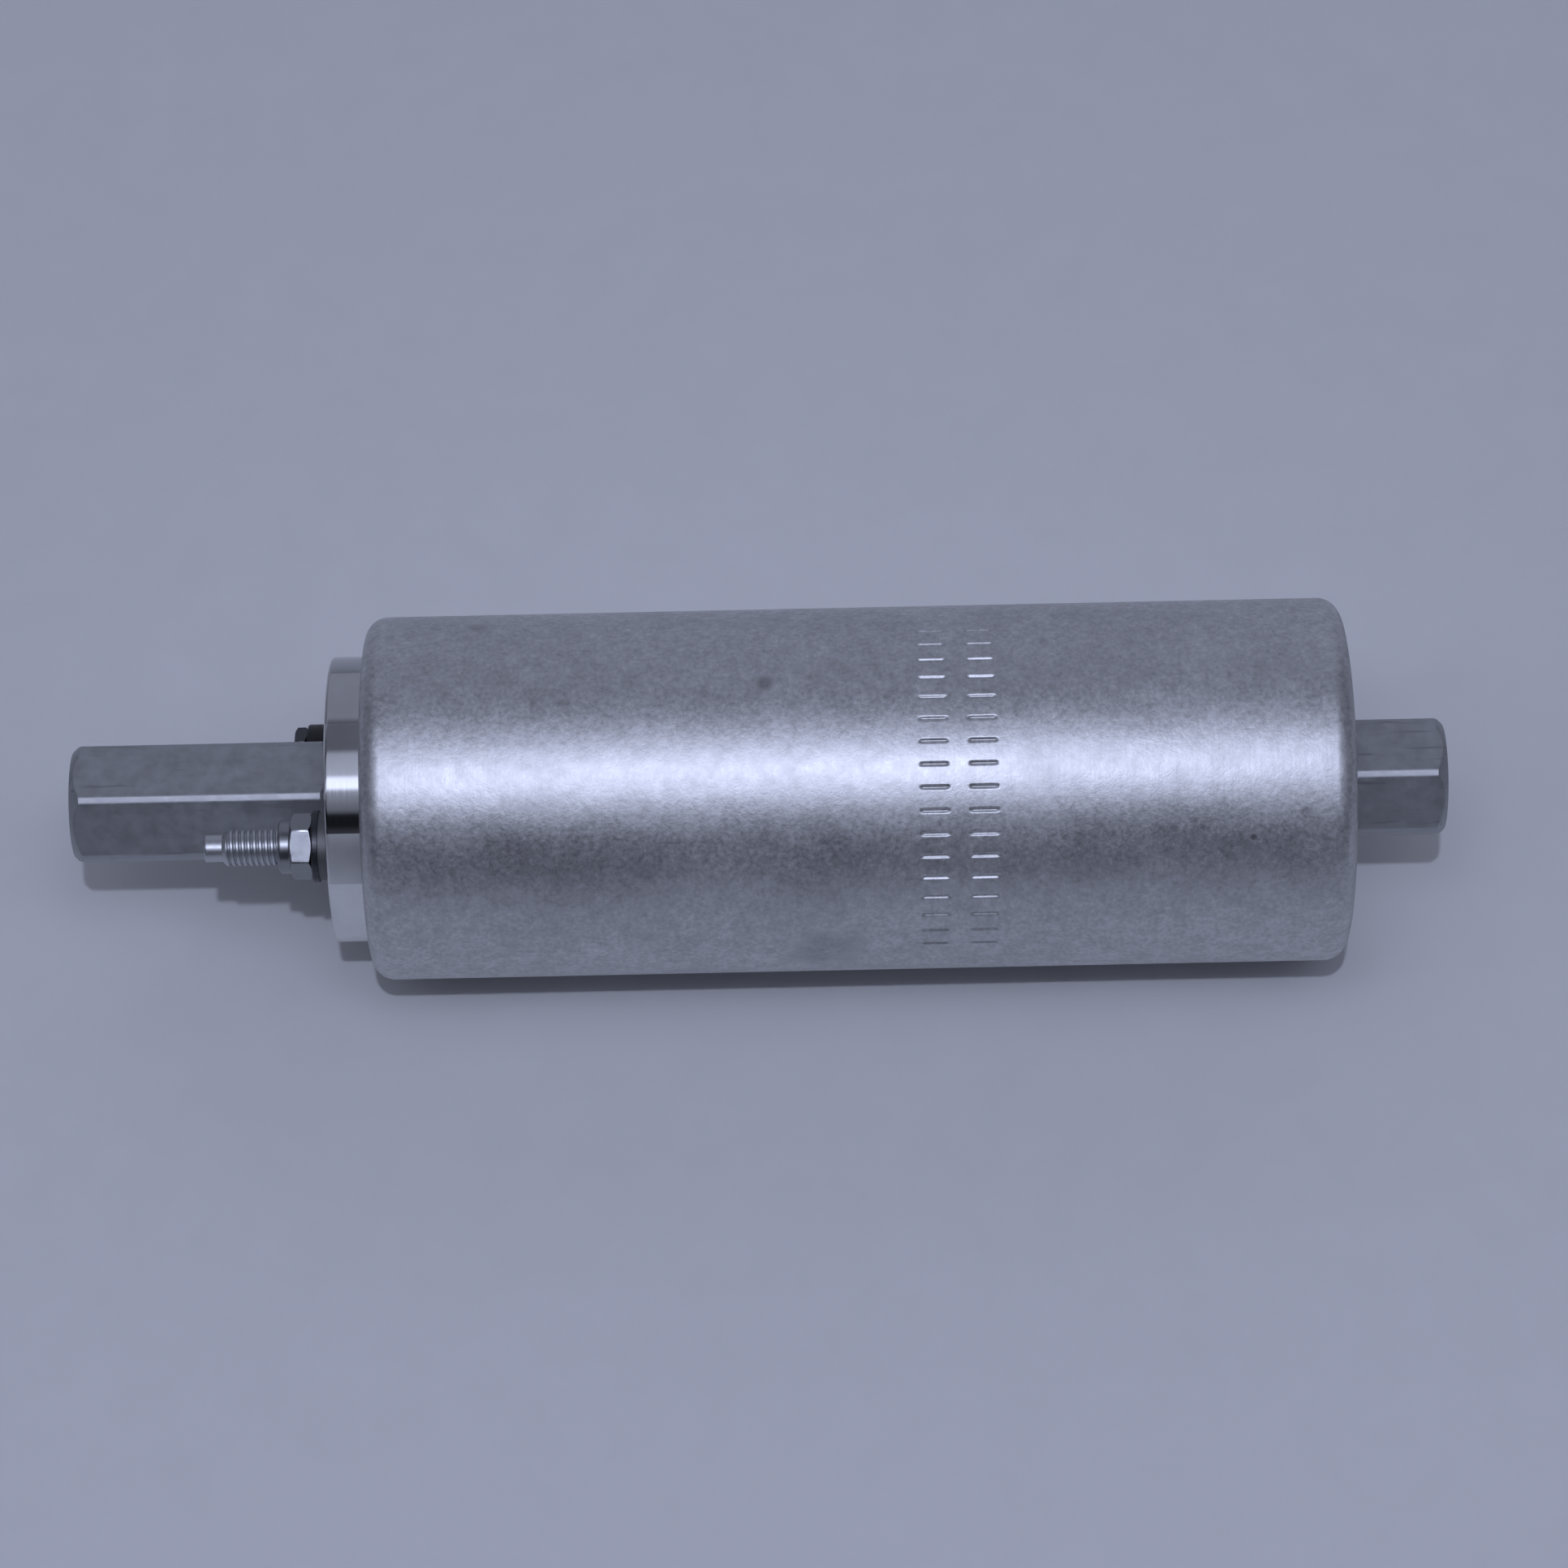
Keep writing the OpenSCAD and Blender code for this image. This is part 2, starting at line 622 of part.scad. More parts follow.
module outlet_fitting() {
    color("gray") difference() {
        union() {
            fitting_hex(x_outlet_shoulder, x_outlet_end);
            rod(x_outlet_shoulder - cut, x_cap_chamber, outlet_spigot_r);
        }
        port_cut(x_outlet_end, x_outlet_port);
        rod(x_outlet_port - cut, x_seat, valve_chamber_r);
        rod(x_seat - cut, x_cap_chamber + cut, seat_r);
    }
}

module outlet_seal_washer() {
    color("darkgray")
        ring(x_outlet_shoulder, x_boss_face, seal_washer_r, outlet_spigot_r + fit_gap);
}

module check_valve_ball() {
    color("gainsboro") translate([x_check_ball, 0, 0]) sphere(r = check_ball_r);
}

module check_valve_spring() {
    rest = coil_rest(check_ball_r, check_coil_r, check_wire_r) + seat_gap;
    color("slategray")
        coil(x_retainer, x_check_ball - rest, check_coil_r, check_wire_r, check_turns);
}

module check_valve_retainer() {
    outer_r = valve_chamber_r - fit_gap;
    flow_pitch_r = (outer_r + retainer_hole_r) / 2;
    color("goldenrod") difference() {
        rod(x_outlet_port, x_retainer, outer_r);
        rod(x_outlet_port - cut, x_retainer + cut, retainer_hole_r);
        for (angle = [0:60:300])
            around(flow_pitch_r, angle) rod(x_outlet_port - cut, x_retainer + cut, retainer_flow_r);
    }
}

module inlet_fitting() {
    color("gray") difference() {
        union() {
            fitting_hex(x_inlet_face, x_inlet_end);
            rod(x_inlet_chamber, x_inlet_face + cut, inlet_spigot_r);
        }
        port_cut(x_inlet_end, x_inlet_end - port_l);
        rod(x_inlet_chamber - cut, x_inlet_end - port_l + cut, inlet_passage_r);
    }
}

module inlet_seal() {
    mid_r = inlet_spigot_r + inlet_seal_d / 2;
    color("black") o_ring(x_inlet_in - inlet_seal_d / 2, mid_r, inlet_seal_d);
}

// Terminals

// Stud with a round head inside the cap and a plain point outside
module stud(r, x_tip, point_radius) {
    bevel = r - point_radius;
    turned([
        [0, x_tip], [point_radius, x_tip], [point_radius, x_tip + point_l],
        [r, x_tip + point_l + bevel], [r, x_head],
        [stud_head_r, x_head], [stud_head_r, x_cap_in], [0, x_cap_in]
    ]);
}

// Hex blank with both faces chamfered
module hex_blank(x0, x1, af) {
    corner_r = af / 2 / cos(30);
    bevel = (corner_r - af / 2) / 2;
    intersection() {
        hex_bar(x0, x1, af);
        turned([
            [0, x0], [af / 2, x0], [corner_r, x0 + bevel],
            [corner_r, x1 - bevel], [af / 2, x1], [0, x1]
        ]);
    }
}

module negative_stud() {
    color("silver") around(stud_pitch_r, stud_angle) stud(neg_stud_r, x_neg_tip, point_r);
}

module negative_washer() {
    color("dimgray") around(stud_pitch_r, stud_angle)
        ring(x_washer, x_pad, washer_r, neg_stud_r + fit_gap);
}

// Lock nut, a hex with a round collar that holds the nylon ring
module negative_nut() {
    lip_h = collar_h - insert_h;
    color("silver") around(stud_pitch_r, stud_angle) difference() {
        union() {
            rotate([neg_nut_turn, 0, 0]) hex_blank(x_neg_nut, x_washer, neg_nut_af);
            turned([
                [0, x_neg_nut + lip_h], [collar_r, x_neg_nut + lip_h],
                [collar_r, x_collar + lip_h], [collar_r - lip_h, x_collar], [0, x_collar]
            ]);
        }
        rod(x_collar - cut, x_washer + cut, neg_stud_r + fit_gap);
        rod(x_collar - cut, x_collar + insert_h, insert_r + fit_gap);
    }
}

module negative_nut_insert() {
    color("royalblue") around(stud_pitch_r, stud_angle)
        ring(x_collar, x_collar + insert_h, insert_r, neg_stud_r + run_gap);
}

module positive_stud() {
    color("silver") around(stud_pitch_r, stud_angle + 180)
        stud(pos_stud_r, x_pos_tip, pos_stud_r * point_r / neg_stud_r);
}

module positive_insulator() {
    bore_r = pos_stud_r + fit_gap;
    color("black") around(stud_pitch_r, stud_angle + 180) turned([
        [bore_r, x_insulator], [insulator_r, x_insulator], [insulator_r, x_boss_face],
        [sleeve_r, x_boss_face], [sleeve_r, x_head_bore], [bore_r, x_head_bore]
    ]);
}

module positive_inner_washer() {
    color("black") around(stud_pitch_r, stud_angle + 180)
        ring(x_head_bore, x_head, head_bore_r, pos_stud_r + fit_gap);
}

module positive_nut() {
    color("dimgray") around(stud_pitch_r, stud_angle + 180) difference() {
        rotate([pos_nut_turn, 0, 0]) hex_blank(x_pos_nut, x_insulator, pos_nut_af);
        rod(x_pos_nut - cut, x_insulator + cut, pos_stud_r + fit_gap);
    }
}

// Brush gear, whose lower half is the upper half turned through 180 degrees

module both_sides() {
    children();
    rotate([180, 0, 0]) children();
}

// Copper strap from the negative choke to the upper brush's spring seat, grown by a clearance,
// with its motor face at x1
module strap_shape(grow, x1) {
    x0 = x_strap - grow;
    r0 = stud_pitch_r - strap_w / 2 - grow;
    r1 = stud_pitch_r + strap_w / 2 + grow;
    width = strap_w + 2 * grow;
    seat_w = tube_t + 2 * grow;
    seat_r1 = tube_r + strap_t + grow;
    x_seat_plate = x_brush - tube_w / 2 - grow;
    sector(x0, x1, r1, r0, brush_angle, stud_angle);
    around(stud_pitch_r, stud_angle) rod(x0, x1, strap_eye_r + grow);
    radial_block(x0, x1, r0, seat_r1, width, brush_angle);
    radial_block(x_seat_plate, x1, tube_r - grow, seat_r1, seat_w, brush_angle);
}

module brush_holder() {
    color("darkslategray") difference() {
        rod(x_cap_in, x_holder, stack_r);
        rod(x_cap_in - cut, x_holder, brush_bush_r + fit_gap);
        rod(x_brush_bush, x_holder + cut, comm_bore_r);
        for (angle = flow_angles)
            around(cap_groove_r - shell_wall - holder_flow_r - fit_gap, angle)
                rod(x_cap_in - cut, x_holder + cut, holder_flow_r);
        both_sides() {
            around(stud_pitch_r, stud_angle) rod(x_cap_in - cut, x_strap, choke_pocket_r);
            radial_block(
                x_brush - tube_w / 2 - pocket_gap, x_brush + tube_w / 2 + pocket_gap,
                0, tube_r, tube_t + 2 * pocket_gap, brush_angle
            );
            strap_shape(pocket_gap, x_holder + cut);
        }
    }
}

module brush_tubes() {
    hole_w = brush_w + 2 * brush_gap;
    hole_t = brush_t + 2 * brush_gap;
    color("darkgoldenrod") both_sides() difference() {
        radial_block(
            x_brush - tube_w / 2, x_brush + tube_w / 2, comm_bore_r, tube_r, tube_t, brush_angle
        );
        radial_block(
            x_brush - hole_w / 2, x_brush + hole_w / 2, 0, tube_r + cut, hole_t, brush_angle
        );
    }
}

module brush() {
    color("dimgray") difference() {
        radial_block(
            x_brush - brush_w / 2, x_brush + brush_w / 2, 0, brush_out_r, brush_t, brush_angle
        );
        rod(x_hub - cut, x_hub_end + cut, brush_in_r);
    }
}

module brush_spring() {
    color("slategray") rotate([brush_angle, 0, 0]) translate([x_brush, 0, 0]) rotate([0, 0, 90])
        coil(brush_out_r + seat_gap, tube_r - seat_gap, brush_coil_r, brush_wire_r, brush_turns);
}

module brush_upper() {
    brush();
}

module brush_lower() {
    rotate([180, 0, 0]) brush();
}

module brush_spring_upper() {
    brush_spring();
}

module brush_spring_lower() {
    rotate([180, 0, 0]) brush_spring();
}

module strap_negative() {
    color("peru") union() strap_shape(0, x_strap + strap_t);
}

module strap_positive() {
    color("peru") rotate([180, 0, 0]) union() strap_shape(0, x_strap + strap_t);
}

module choke_cores() {
    color("gray") both_sides() around(stud_pitch_r, stud_angle)
        rod(x_choke_0, x_choke_1, choke_r);
}

module choke_windings() {
    color("saddlebrown") both_sides() around(stud_pitch_r, stud_angle)
        coil(x_choke_0, x_choke_1, choke_coil_r, choke_wire_r, choke_turns);
}

module choke_leads() {
    color("peru") both_sides() around(stud_pitch_r, stud_angle) {
        rod(x_cap_in, x_choke_0, lead_r);
        rod(x_choke_1, x_strap, lead_r);
    }
}

module brush_end_bush() {
    color("goldenrod") ring(x_cap_in, x_brush_bush, brush_bush_r, shaft_r + run_gap);
}

// Motor

module flux_ring() {
    color("slategray") ring(x_holder, x_plate, stack_r, flux_in_r);
}

module magnet(mid_angle) {
    color("dimgray") sector(
        x_core_0 - magnet_overhang, x_core_1 + magnet_overhang, magnet_r, magnet_in_r,
        mid_angle - magnet_span / 2, mid_angle + magnet_span / 2
    );
}

module magnet_upper() {
    magnet(90);
}

module magnet_lower() {
    magnet(270);
}

// Spring clips that press the magnets apart, a back against the flux ring and a leg on each magnet
module magnet_clips() {
    half = 90 - magnet_span / 2 - asin(fit_gap / magnet_in_r);
    inside = half - asin(clip_t / (magnet_r - clip_leg));
    leg_r = magnet_r - clip_leg;
    color("silver") both_sides() difference() {
        sector(x_core_0, x_core_1, magnet_r, leg_r, -half, half);
        sector(
            x_core_0 - cut, x_core_1 + cut, magnet_r - clip_t, leg_r - cut, -inside, inside
        );
    }
}

module armature_shaft() {
    color("lightsteelblue") difference() {
        rod(x_shaft_0, x_shaft_1, shaft_r);
        translate([x_ring_0, -shaft_r - cut, flat_r])
            cube([x_shaft_1 - x_ring_0 + cut, 2 * shaft_r + 2 * cut, shaft_r]);
    }
}

// Slots of the armature, cut through a core or an end insulator
module slot_cuts(x0, x1) {
    for (i = [0:bar_count - 1]) {
        angle = 360 * i / bar_count;
        around(slot_pitch_r, angle) rod(x0 - cut, x1 + cut, slot_r);
        radial_block(x0 - cut, x1 + cut, slot_pitch_r, core_r + cut, slot_mouth_w, angle);
    }
}

module armature_core() {
    color("slategray") difference() {
        ring(x_core_0, x_core_1, core_r, shaft_r + fit_gap);
        slot_cuts(x_core_0, x_core_1);
    }
}

// Fibre disc on each end of the core, with a sleeve along the shaft to the next piece
module end_insulators() {
    bore_r = shaft_r + fit_gap;
    disc_r = core_r - air_gap;
    disc_0 = x_core_0 - end_insulator_t;
    disc_1 = x_core_1 + end_insulator_t;
    color("tan") {
        difference() {
            turned([
                [bore_r, x_hub_end], [spacer_r, x_hub_end], [spacer_r, disc_0],
                [disc_r, disc_0], [disc_r, x_core_0], [bore_r, x_core_0]
            ]);
            slot_cuts(disc_0, x_core_0);
        }
        difference() {
            turned([
                [bore_r, x_core_1], [disc_r, x_core_1], [disc_r, disc_1],
                [spacer_r, disc_1], [spacer_r, x_thrust], [bore_r, x_thrust]
            ]);
            slot_cuts(x_core_1, disc_1);
        }
    }
}

// Rounded bundle of end turns, from its foot on the insulator to its crown
module end_turns(x_foot, way) {
    x_crown = x_foot + way * end_turn_l;
    x_round = x_crown - way * end_turn_corner_r;
    outer = [for (p = arc([0, 0], end_turn_corner_r, 0, 90))
        [end_turn_r - end_turn_corner_r + p[0], x_round + way * p[1]]];
    inner = [for (p = arc([0, 0], end_turn_corner_r, 90, 180))
        [end_turn_in_r + end_turn_corner_r + p[0], x_round + way * p[1]]];
    turned(concat([[end_turn_in_r, x_foot], [end_turn_r, x_foot]], outer, inner));
}

module armature_winding() {
    foot_0 = x_core_0 - end_insulator_t;
    foot_1 = x_core_1 + end_insulator_t;
    color("chocolate") union() {
        end_turns(foot_0, -1);
        end_turns(foot_1, 1);
        for (i = [0:bar_count - 1])
            around(slot_pitch_r, 360 * i / bar_count)
                rod(foot_0 - cut, foot_1 + cut, slot_r - slot_gap);
    }
}

module commutator_hub() {
    color("saddlebrown") ring(x_hub, x_hub_end, comm_hub_r, shaft_r + fit_gap);
}

module commutator_bars() {
    x0 = x_hub + comm_end;
    x1 = x_hub_end - comm_end;
    slot_angle = 2 * asin(comm_slot_w / 2 / comm_r);
    pitch = 360 / bar_count;
    color("peru") for (i = [0:bar_count - 1])
        sector(
            x0, x1, comm_r, comm_hub_r + fit_gap,
            pitch * i + slot_angle / 2, pitch * (i + 1) - slot_angle / 2
        );
}

module thrust_washers() {
    bore_r = shaft_r + fit_gap;
    color("khaki") {
        ring(x_hub - thrust_t, x_hub, thrust_r, bore_r);
        ring(x_thrust, x_thrust + thrust_t, thrust_r, bore_r);
    }
}

// Gerotor pump

// Hex sleeve that keys the inner rotor to the flat on the shaft
module drive_coupling() {
    x0 = x_ring_0 + end_play;
    x1 = x_ring_1 - end_play;
    color("ivory") difference() {
        hex_bar(x0, x1, coupling_af);
        intersection() {
            rod(x0 - cut, x1 + cut, shaft_r + fit_gap);
            translate([x0 - cut, -coupling_af, -coupling_af])
                cube([x1 - x0 + 2 * cut, 2 * coupling_af, coupling_af + flat_r + fit_gap]);
        }
    }
}

// Holes for the screws and dowels through the pump's plates
module stack_holes(x0, x1) {
    for (angle = screw_angles)
        around(screw_pitch_r, angle) rod(x0, x1, screw_r + fit_gap);
    for (angle = dowel_angles)
        around(dowel_pitch_r, angle) rod(x0, x1, dowel_r + fit_gap);
}

module relief_passage(x0, x1) {
    around(relief_pitch_r, relief_angle) rod(x0, x1, relief_seat_r);
}

// Kidney port centred on an angle
module kidney(x0, x1, mid_angle) {
    half = kidney_span / 2;
    sector(x0, x1, kidney_r, kidney_in_r, mid_angle - half, mid_angle + half);
}

module outlet_plate() {
    color("silver") difference() {
        union() {
            rod(x_plate, x_ring_0, stack_r);
            rod(x_pump_boss, x_plate + cut, pump_boss_r);
        }
        rod(x_pump_boss - cut, x_ring_0 + cut, pump_bush_r + fit_gap);
        kidney(x_plate - cut, x_ring_0 + cut, 270);
        stack_holes(x_plate - cut, x_ring_0 + cut);
        for (angle = screw_angles)
            around(screw_pitch_r, angle)
                rod(x_plate - cut, x_screw_seat, screw_head_r + stack_gap);
        relief_passage(x_plate - cut, x_ring_0 + cut);
    }
}

module pump_end_bush() {
    color("goldenrod") ring(x_pump_boss, x_ring_0, pump_bush_r, shaft_r + run_gap);
}

module pump_ring() {
    color("gainsboro") difference() {
        rod(x_ring_0, x_ring_1, stack_r);
        translate([0, rotor_offset, 0])
            rod(x_ring_0 - cut, x_ring_1 + cut, rotor_r + face_gap);
        stack_holes(x_ring_0 - cut, x_ring_1 + cut);
        relief_passage(x_ring_0 - cut, x_ring_1 + cut);
    }
}

// Point of the inner rotor's outline, the envelope of the outer rotor's lobes
function inner_point(t) =
    let (n = outer_lobes)
    let (centre = lobe_pitch_r * [cos(t), sin(t)] + rotor_offset * [cos(n * t), sin(n * t)])
    let (run = lobe_pitch_r * [-sin(t), cos(t)] + n * rotor_offset * [-sin(n * t), cos(n * t)])
    centre + (lobe_r + mesh_gap) * [-run[1], run[0]] / norm(run);

module gerotor_inner() {
    count = inner_lobes * lobe_points;
    crowd = root_crowding * 180 / PI / inner_lobes;
    outline = [for (i = [0:count - 1])
        let (s = 360 * i / count)
        inner_point(s + crowd * sin(inner_lobes * s))];
    x0 = x_ring_0 + face_gap;
    x1 = x_ring_1 - face_gap;
    color("dimgray") difference() {
        at(x0) linear_extrude(height = x1 - x0) polygon(outline);
        hex_bar(x0 - cut, x1 + cut, coupling_af + 2 * fit_gap);
    }
}

module gerotor_outer() {
    x0 = x_ring_0 + face_gap;
    x1 = x_ring_1 - face_gap;
    color("darkgray") translate([0, rotor_offset, 0]) difference() {
        rod(x0, x1, rotor_r);
        difference() {
            rod(x0 - cut, x1 + cut, root_r);
            for (i = [0:outer_lobes - 1])
                around(lobe_pitch_r, 360 * i / outer_lobes)
                    rod(x0 - 2 * cut, x1 + 2 * cut, lobe_r);
        }
    }
}

module inlet_plate() {
    color("silver") difference() {
        rod(x_ring_1, x_housing, stack_r);
        kidney(x_ring_1 - cut, x_housing + cut, 90);
        stack_holes(x_ring_1 - cut, x_housing + cut);
        relief_passage(x_ring_1 - cut, x_housing + cut);
    }
}

module pump_dowels() {
    color("lightsteelblue") for (angle = dowel_angles)
        around(dowel_pitch_r, angle) rod(x_plate, x_housing + dowel_depth, dowel_r);
}

module pump_screws() {
    x_top = x_screw_seat - screw_head_h;
    x_tip = x_housing + screw_depth;
    color("dimgray") for (angle = screw_angles)
        around(screw_pitch_r, angle) difference() {
            turned([
                [0, x_top], [screw_head_r, x_top], [screw_head_r, x_screw_seat],
                [screw_r, x_screw_seat], [screw_r, x_tip], [0, x_tip]
            ]);
            hex_bar(x_top - cut, x_top + screw_socket_l, screw_socket_af);
        }
}

module inlet_housing() {
    seal_bore_r = inlet_spigot_r + inlet_seal_d + seal_side_gap;
    color("lightgray") difference() {
        rod(x_housing, x_inlet_in, stack_r);
        rod(x_housing - cut, x_inlet_chamber, inlet_chamber_r);
        rod(x_housing, x_inlet_in + cut, inlet_spigot_r + fit_gap);
        rod(x_inlet_in - inlet_seal_d, x_inlet_in + cut, seal_bore_r);
        for (angle = screw_angles)
            around(screw_pitch_r, angle)
                rod(x_housing - cut, x_housing + screw_depth + fit_gap, screw_r + fit_gap);
        for (angle = dowel_angles)
            around(dowel_pitch_r, angle)
                rod(x_housing - cut, x_housing + dowel_depth + fit_gap, dowel_r + fit_gap);
        around(relief_pitch_r, relief_angle) rod(x_housing - cut, x_relief_end, relief_bore_r);
        rotate([relief_angle - 90, 0, 0])
            translate([x_housing + inlet_chamber_l / 2, 0, inlet_chamber_r - cut])
            cylinder(r = relief_return_r, h = relief_pitch_r - inlet_chamber_r + cut);
    }
}

module relief_valve_ball() {
    color("gainsboro") around(relief_pitch_r, relief_angle)
        translate([x_relief_ball, 0, 0]) sphere(r = relief_ball_r);
}

module relief_valve_spring() {
    rest = coil_rest(relief_ball_r, relief_coil_r, relief_wire_r) + seat_gap;
    color("slategray") around(relief_pitch_r, relief_angle) coil(
        x_relief_ball + rest, x_relief_end - seat_gap, relief_coil_r, relief_wire_r, relief_turns
    );
}

shell();
outlet_cap();
cap_seal();
outlet_fitting();
outlet_seal_washer();
check_valve_ball();
check_valve_spring();
check_valve_retainer();
inlet_fitting();
inlet_seal();
negative_stud();
negative_washer();
negative_nut();
negative_nut_insert();
positive_stud();
positive_insulator();
positive_inner_washer();
positive_nut();
brush_holder();
brush_tubes();
brush_upper();
brush_lower();
brush_spring_upper();
brush_spring_lower();
strap_negative();
strap_positive();
choke_cores();
choke_windings();
choke_leads();
brush_end_bush();
flux_ring();
magnet_upper();
magnet_lower();
magnet_clips();
armature_shaft();
armature_core();
armature_winding();
end_insulators();
commutator_hub();
commutator_bars();
thrust_washers();
drive_coupling();
outlet_plate();
pump_end_bush();
pump_ring();
gerotor_inner();
gerotor_outer();
inlet_plate();
pump_dowels();
pump_screws();
inlet_housing();
relief_valve_ball();
relief_valve_spring();
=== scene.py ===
"""Looks of an inline electric fuel pump, made round its packed CAD model.

The pump's axis is X: the inlet is at +X, the outlet and both terminals are at -X. Sizes are metres.
"""

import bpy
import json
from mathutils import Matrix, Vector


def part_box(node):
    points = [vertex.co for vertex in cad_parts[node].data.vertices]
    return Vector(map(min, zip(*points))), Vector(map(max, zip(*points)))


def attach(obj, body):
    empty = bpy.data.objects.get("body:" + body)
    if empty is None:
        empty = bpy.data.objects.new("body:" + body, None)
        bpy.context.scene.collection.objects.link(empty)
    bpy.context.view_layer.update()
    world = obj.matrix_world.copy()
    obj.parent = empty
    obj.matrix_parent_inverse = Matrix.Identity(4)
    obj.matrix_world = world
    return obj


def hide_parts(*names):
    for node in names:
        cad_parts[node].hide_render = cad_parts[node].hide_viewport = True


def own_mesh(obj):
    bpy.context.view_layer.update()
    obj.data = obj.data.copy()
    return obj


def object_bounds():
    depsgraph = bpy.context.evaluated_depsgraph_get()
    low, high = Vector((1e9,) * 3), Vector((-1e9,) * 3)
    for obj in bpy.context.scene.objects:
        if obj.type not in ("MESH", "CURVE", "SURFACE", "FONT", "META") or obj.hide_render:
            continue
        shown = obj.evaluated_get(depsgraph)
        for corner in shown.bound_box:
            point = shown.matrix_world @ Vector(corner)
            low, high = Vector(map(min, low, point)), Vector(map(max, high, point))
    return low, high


bl_info = {
    "name": "Inline fuel pump",
    "version": (1, 0, 0),
    "blender": (4, 5, 0),
    "location": "View3D > Sidebar > Fuel pump",
    "description": "Makes the finished pieces and the studio of an inline electric fuel pump",
    "category": "Object",
}

import json
import math
from functools import partial

import bmesh
import bpy
import numpy as np
from mathutils import Quaternion, Vector

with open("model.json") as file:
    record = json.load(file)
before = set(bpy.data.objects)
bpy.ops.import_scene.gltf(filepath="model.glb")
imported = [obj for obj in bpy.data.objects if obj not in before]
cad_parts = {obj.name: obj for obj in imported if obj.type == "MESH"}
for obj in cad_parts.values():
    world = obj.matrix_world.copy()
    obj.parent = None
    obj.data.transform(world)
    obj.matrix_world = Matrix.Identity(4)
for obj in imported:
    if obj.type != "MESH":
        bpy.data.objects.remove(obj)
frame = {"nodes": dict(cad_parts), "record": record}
CAD_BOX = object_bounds()
SLOTS = {row["node"]: row["material_slot"] for row in frame["record"]["subparts"]}
MM = 0.001
TURN = 2 * math.pi
SIXTH = TURN / 6
# Steps of the walls that are cut into a hex, a nut, a stud's thread and a port's thread
HEX_STEP, NUT_STEP, STUD_STEP, PORT_STEP = 0.05 * MM, 0.025 * MM, 0.05 * MM, 0.08 * MM
# Steps of the wall that is stamped with strokes, along the can and round it
STROKE_STEP, STROKE_STEP_AROUND = 0.22 * MM, 0.11 * MM
# Distance within which a wall counts as being where it should be
WALL_SLACK = 0.02 * MM
# Depth of the can's skin, in which the strokes are stamped
SKIN = 0.05 * MM
# Where a thread groove's side begins and ends, as shares of a pitch from the middle of its bottom
GROOVE_SIDE = (0.06, 0.3)


# Sizes and colours that a user would change


def linear(code):
    """Linear RGBA of an sRGB hex colour."""
    parts = [int(code[i:i + 2], 16) / 255 for i in (0, 2, 4)]
    return (*[c / 12.92 if c <= 0.04045 else ((c + 0.055) / 1.055) ** 2.4 for c in parts], 1.0)


def size(name, description, millimetres):
    """Length property whose default is given in millimetres."""
    return bpy.props.FloatProperty(
        name=name, description=description, default=millimetres * MM, unit="LENGTH", precision=5
    )


def turn(name, description, degrees):
    """Angle property whose default is given in degrees."""
    return bpy.props.FloatProperty(
        name=name, description=description, default=math.radians(degrees), subtype="ANGLE"
    )


def power(name, description, watts):
    """Light power property."""
    return bpy.props.FloatProperty(name=name, description=description, default=watts, unit="POWER")


def tint(name, description, code):
    """Colour property whose default is an sRGB hex value."""
    return bpy.props.FloatVectorProperty(
        name=name, description=description, default=linear(code), size=4, subtype="COLOR"
    )


class CanSizes(bpy.types.PropertyGroup):
    """Can"""

    wall: size("Wall", "Thickness of the can's wall", 1.8)
    corner: size("Corner radius", "Outside corner radius at both ends", 3)
    dome: size("Dome", "Height by which the inlet end bulges", 0.65)
    land_r: size("Land radius", "Radius of the flat land round the inlet hex", 9.5)
    lip_r: size("Lip radius", "Inside radius of the rolled outlet lip", 20.1)
    lip_edge: size("Lip edge", "Rounding of the lip's inner edge", 0.35)
    hole_r: size("Inlet hole", "Radius of the hole round the inlet spigot", 7.05)
    mark_station: size("Marks", "Station half way between the two columns of stamped strokes", 13.4)
    mark_gap: size("Column gap", "Distance between the two columns", 6.7)
    mark_length: size("Stroke length", "Length of a stamped stroke", 4.1)
    mark_width: size("Stroke width", "Width of a stamped stroke", 0.8)
    mark_pitch: size("Stroke pitch", "Distance between strokes round the can", 3.2)
    mark_depth: size("Stroke depth", "Depth of a stamped stroke", 0.24)
    mark_span: turn("Marked angle", "Angle of the can that the strokes cover", 118)
    mark_middle: turn("Marks' middle", "Angle of the strokes' middle from +Y toward +Z", 123.5)


class HexSizes(bpy.types.PropertyGroup):
    """Hex fittings"""

    chamfer: size("Chamfer", "Chamfer on a hex's outer end", 1.5)
    shoulder: size("Shoulder", "Chamfer at a hex's inner end", 0.5)
    edge: size("Edge", "Rounding of a hex's edges", 0.09)
    port_r: size("Port radius", "Radius of the port thread", 5)
    port_l: size("Port depth", "Depth of the port", 12)
    mouth: size("Mouth", "Chamfer at the port's mouth", 0.8)
    pitch: size("Pitch", "Pitch of the port thread", 1)
    depth: size("Thread depth", "Depth of the port thread", 0.54)
    outlet_spigot_r: size("Outlet spigot", "Radius of the outlet spigot", 6)
    inlet_spigot_r: size("Inlet spigot", "Radius of the inlet spigot", 7)
    chamber_r: size("Valve chamber", "Radius of the check valve's chamber", 4.2)
    seat_r: size("Valve seat", "Radius of the check valve's seat", 2.6)
    seat_back: size("Seat distance", "Distance of the seat from the outlet hex's shoulder", 4.5)
    passage_r: size("Inlet passage", "Radius of the passage through the inlet spigot", 3.6)


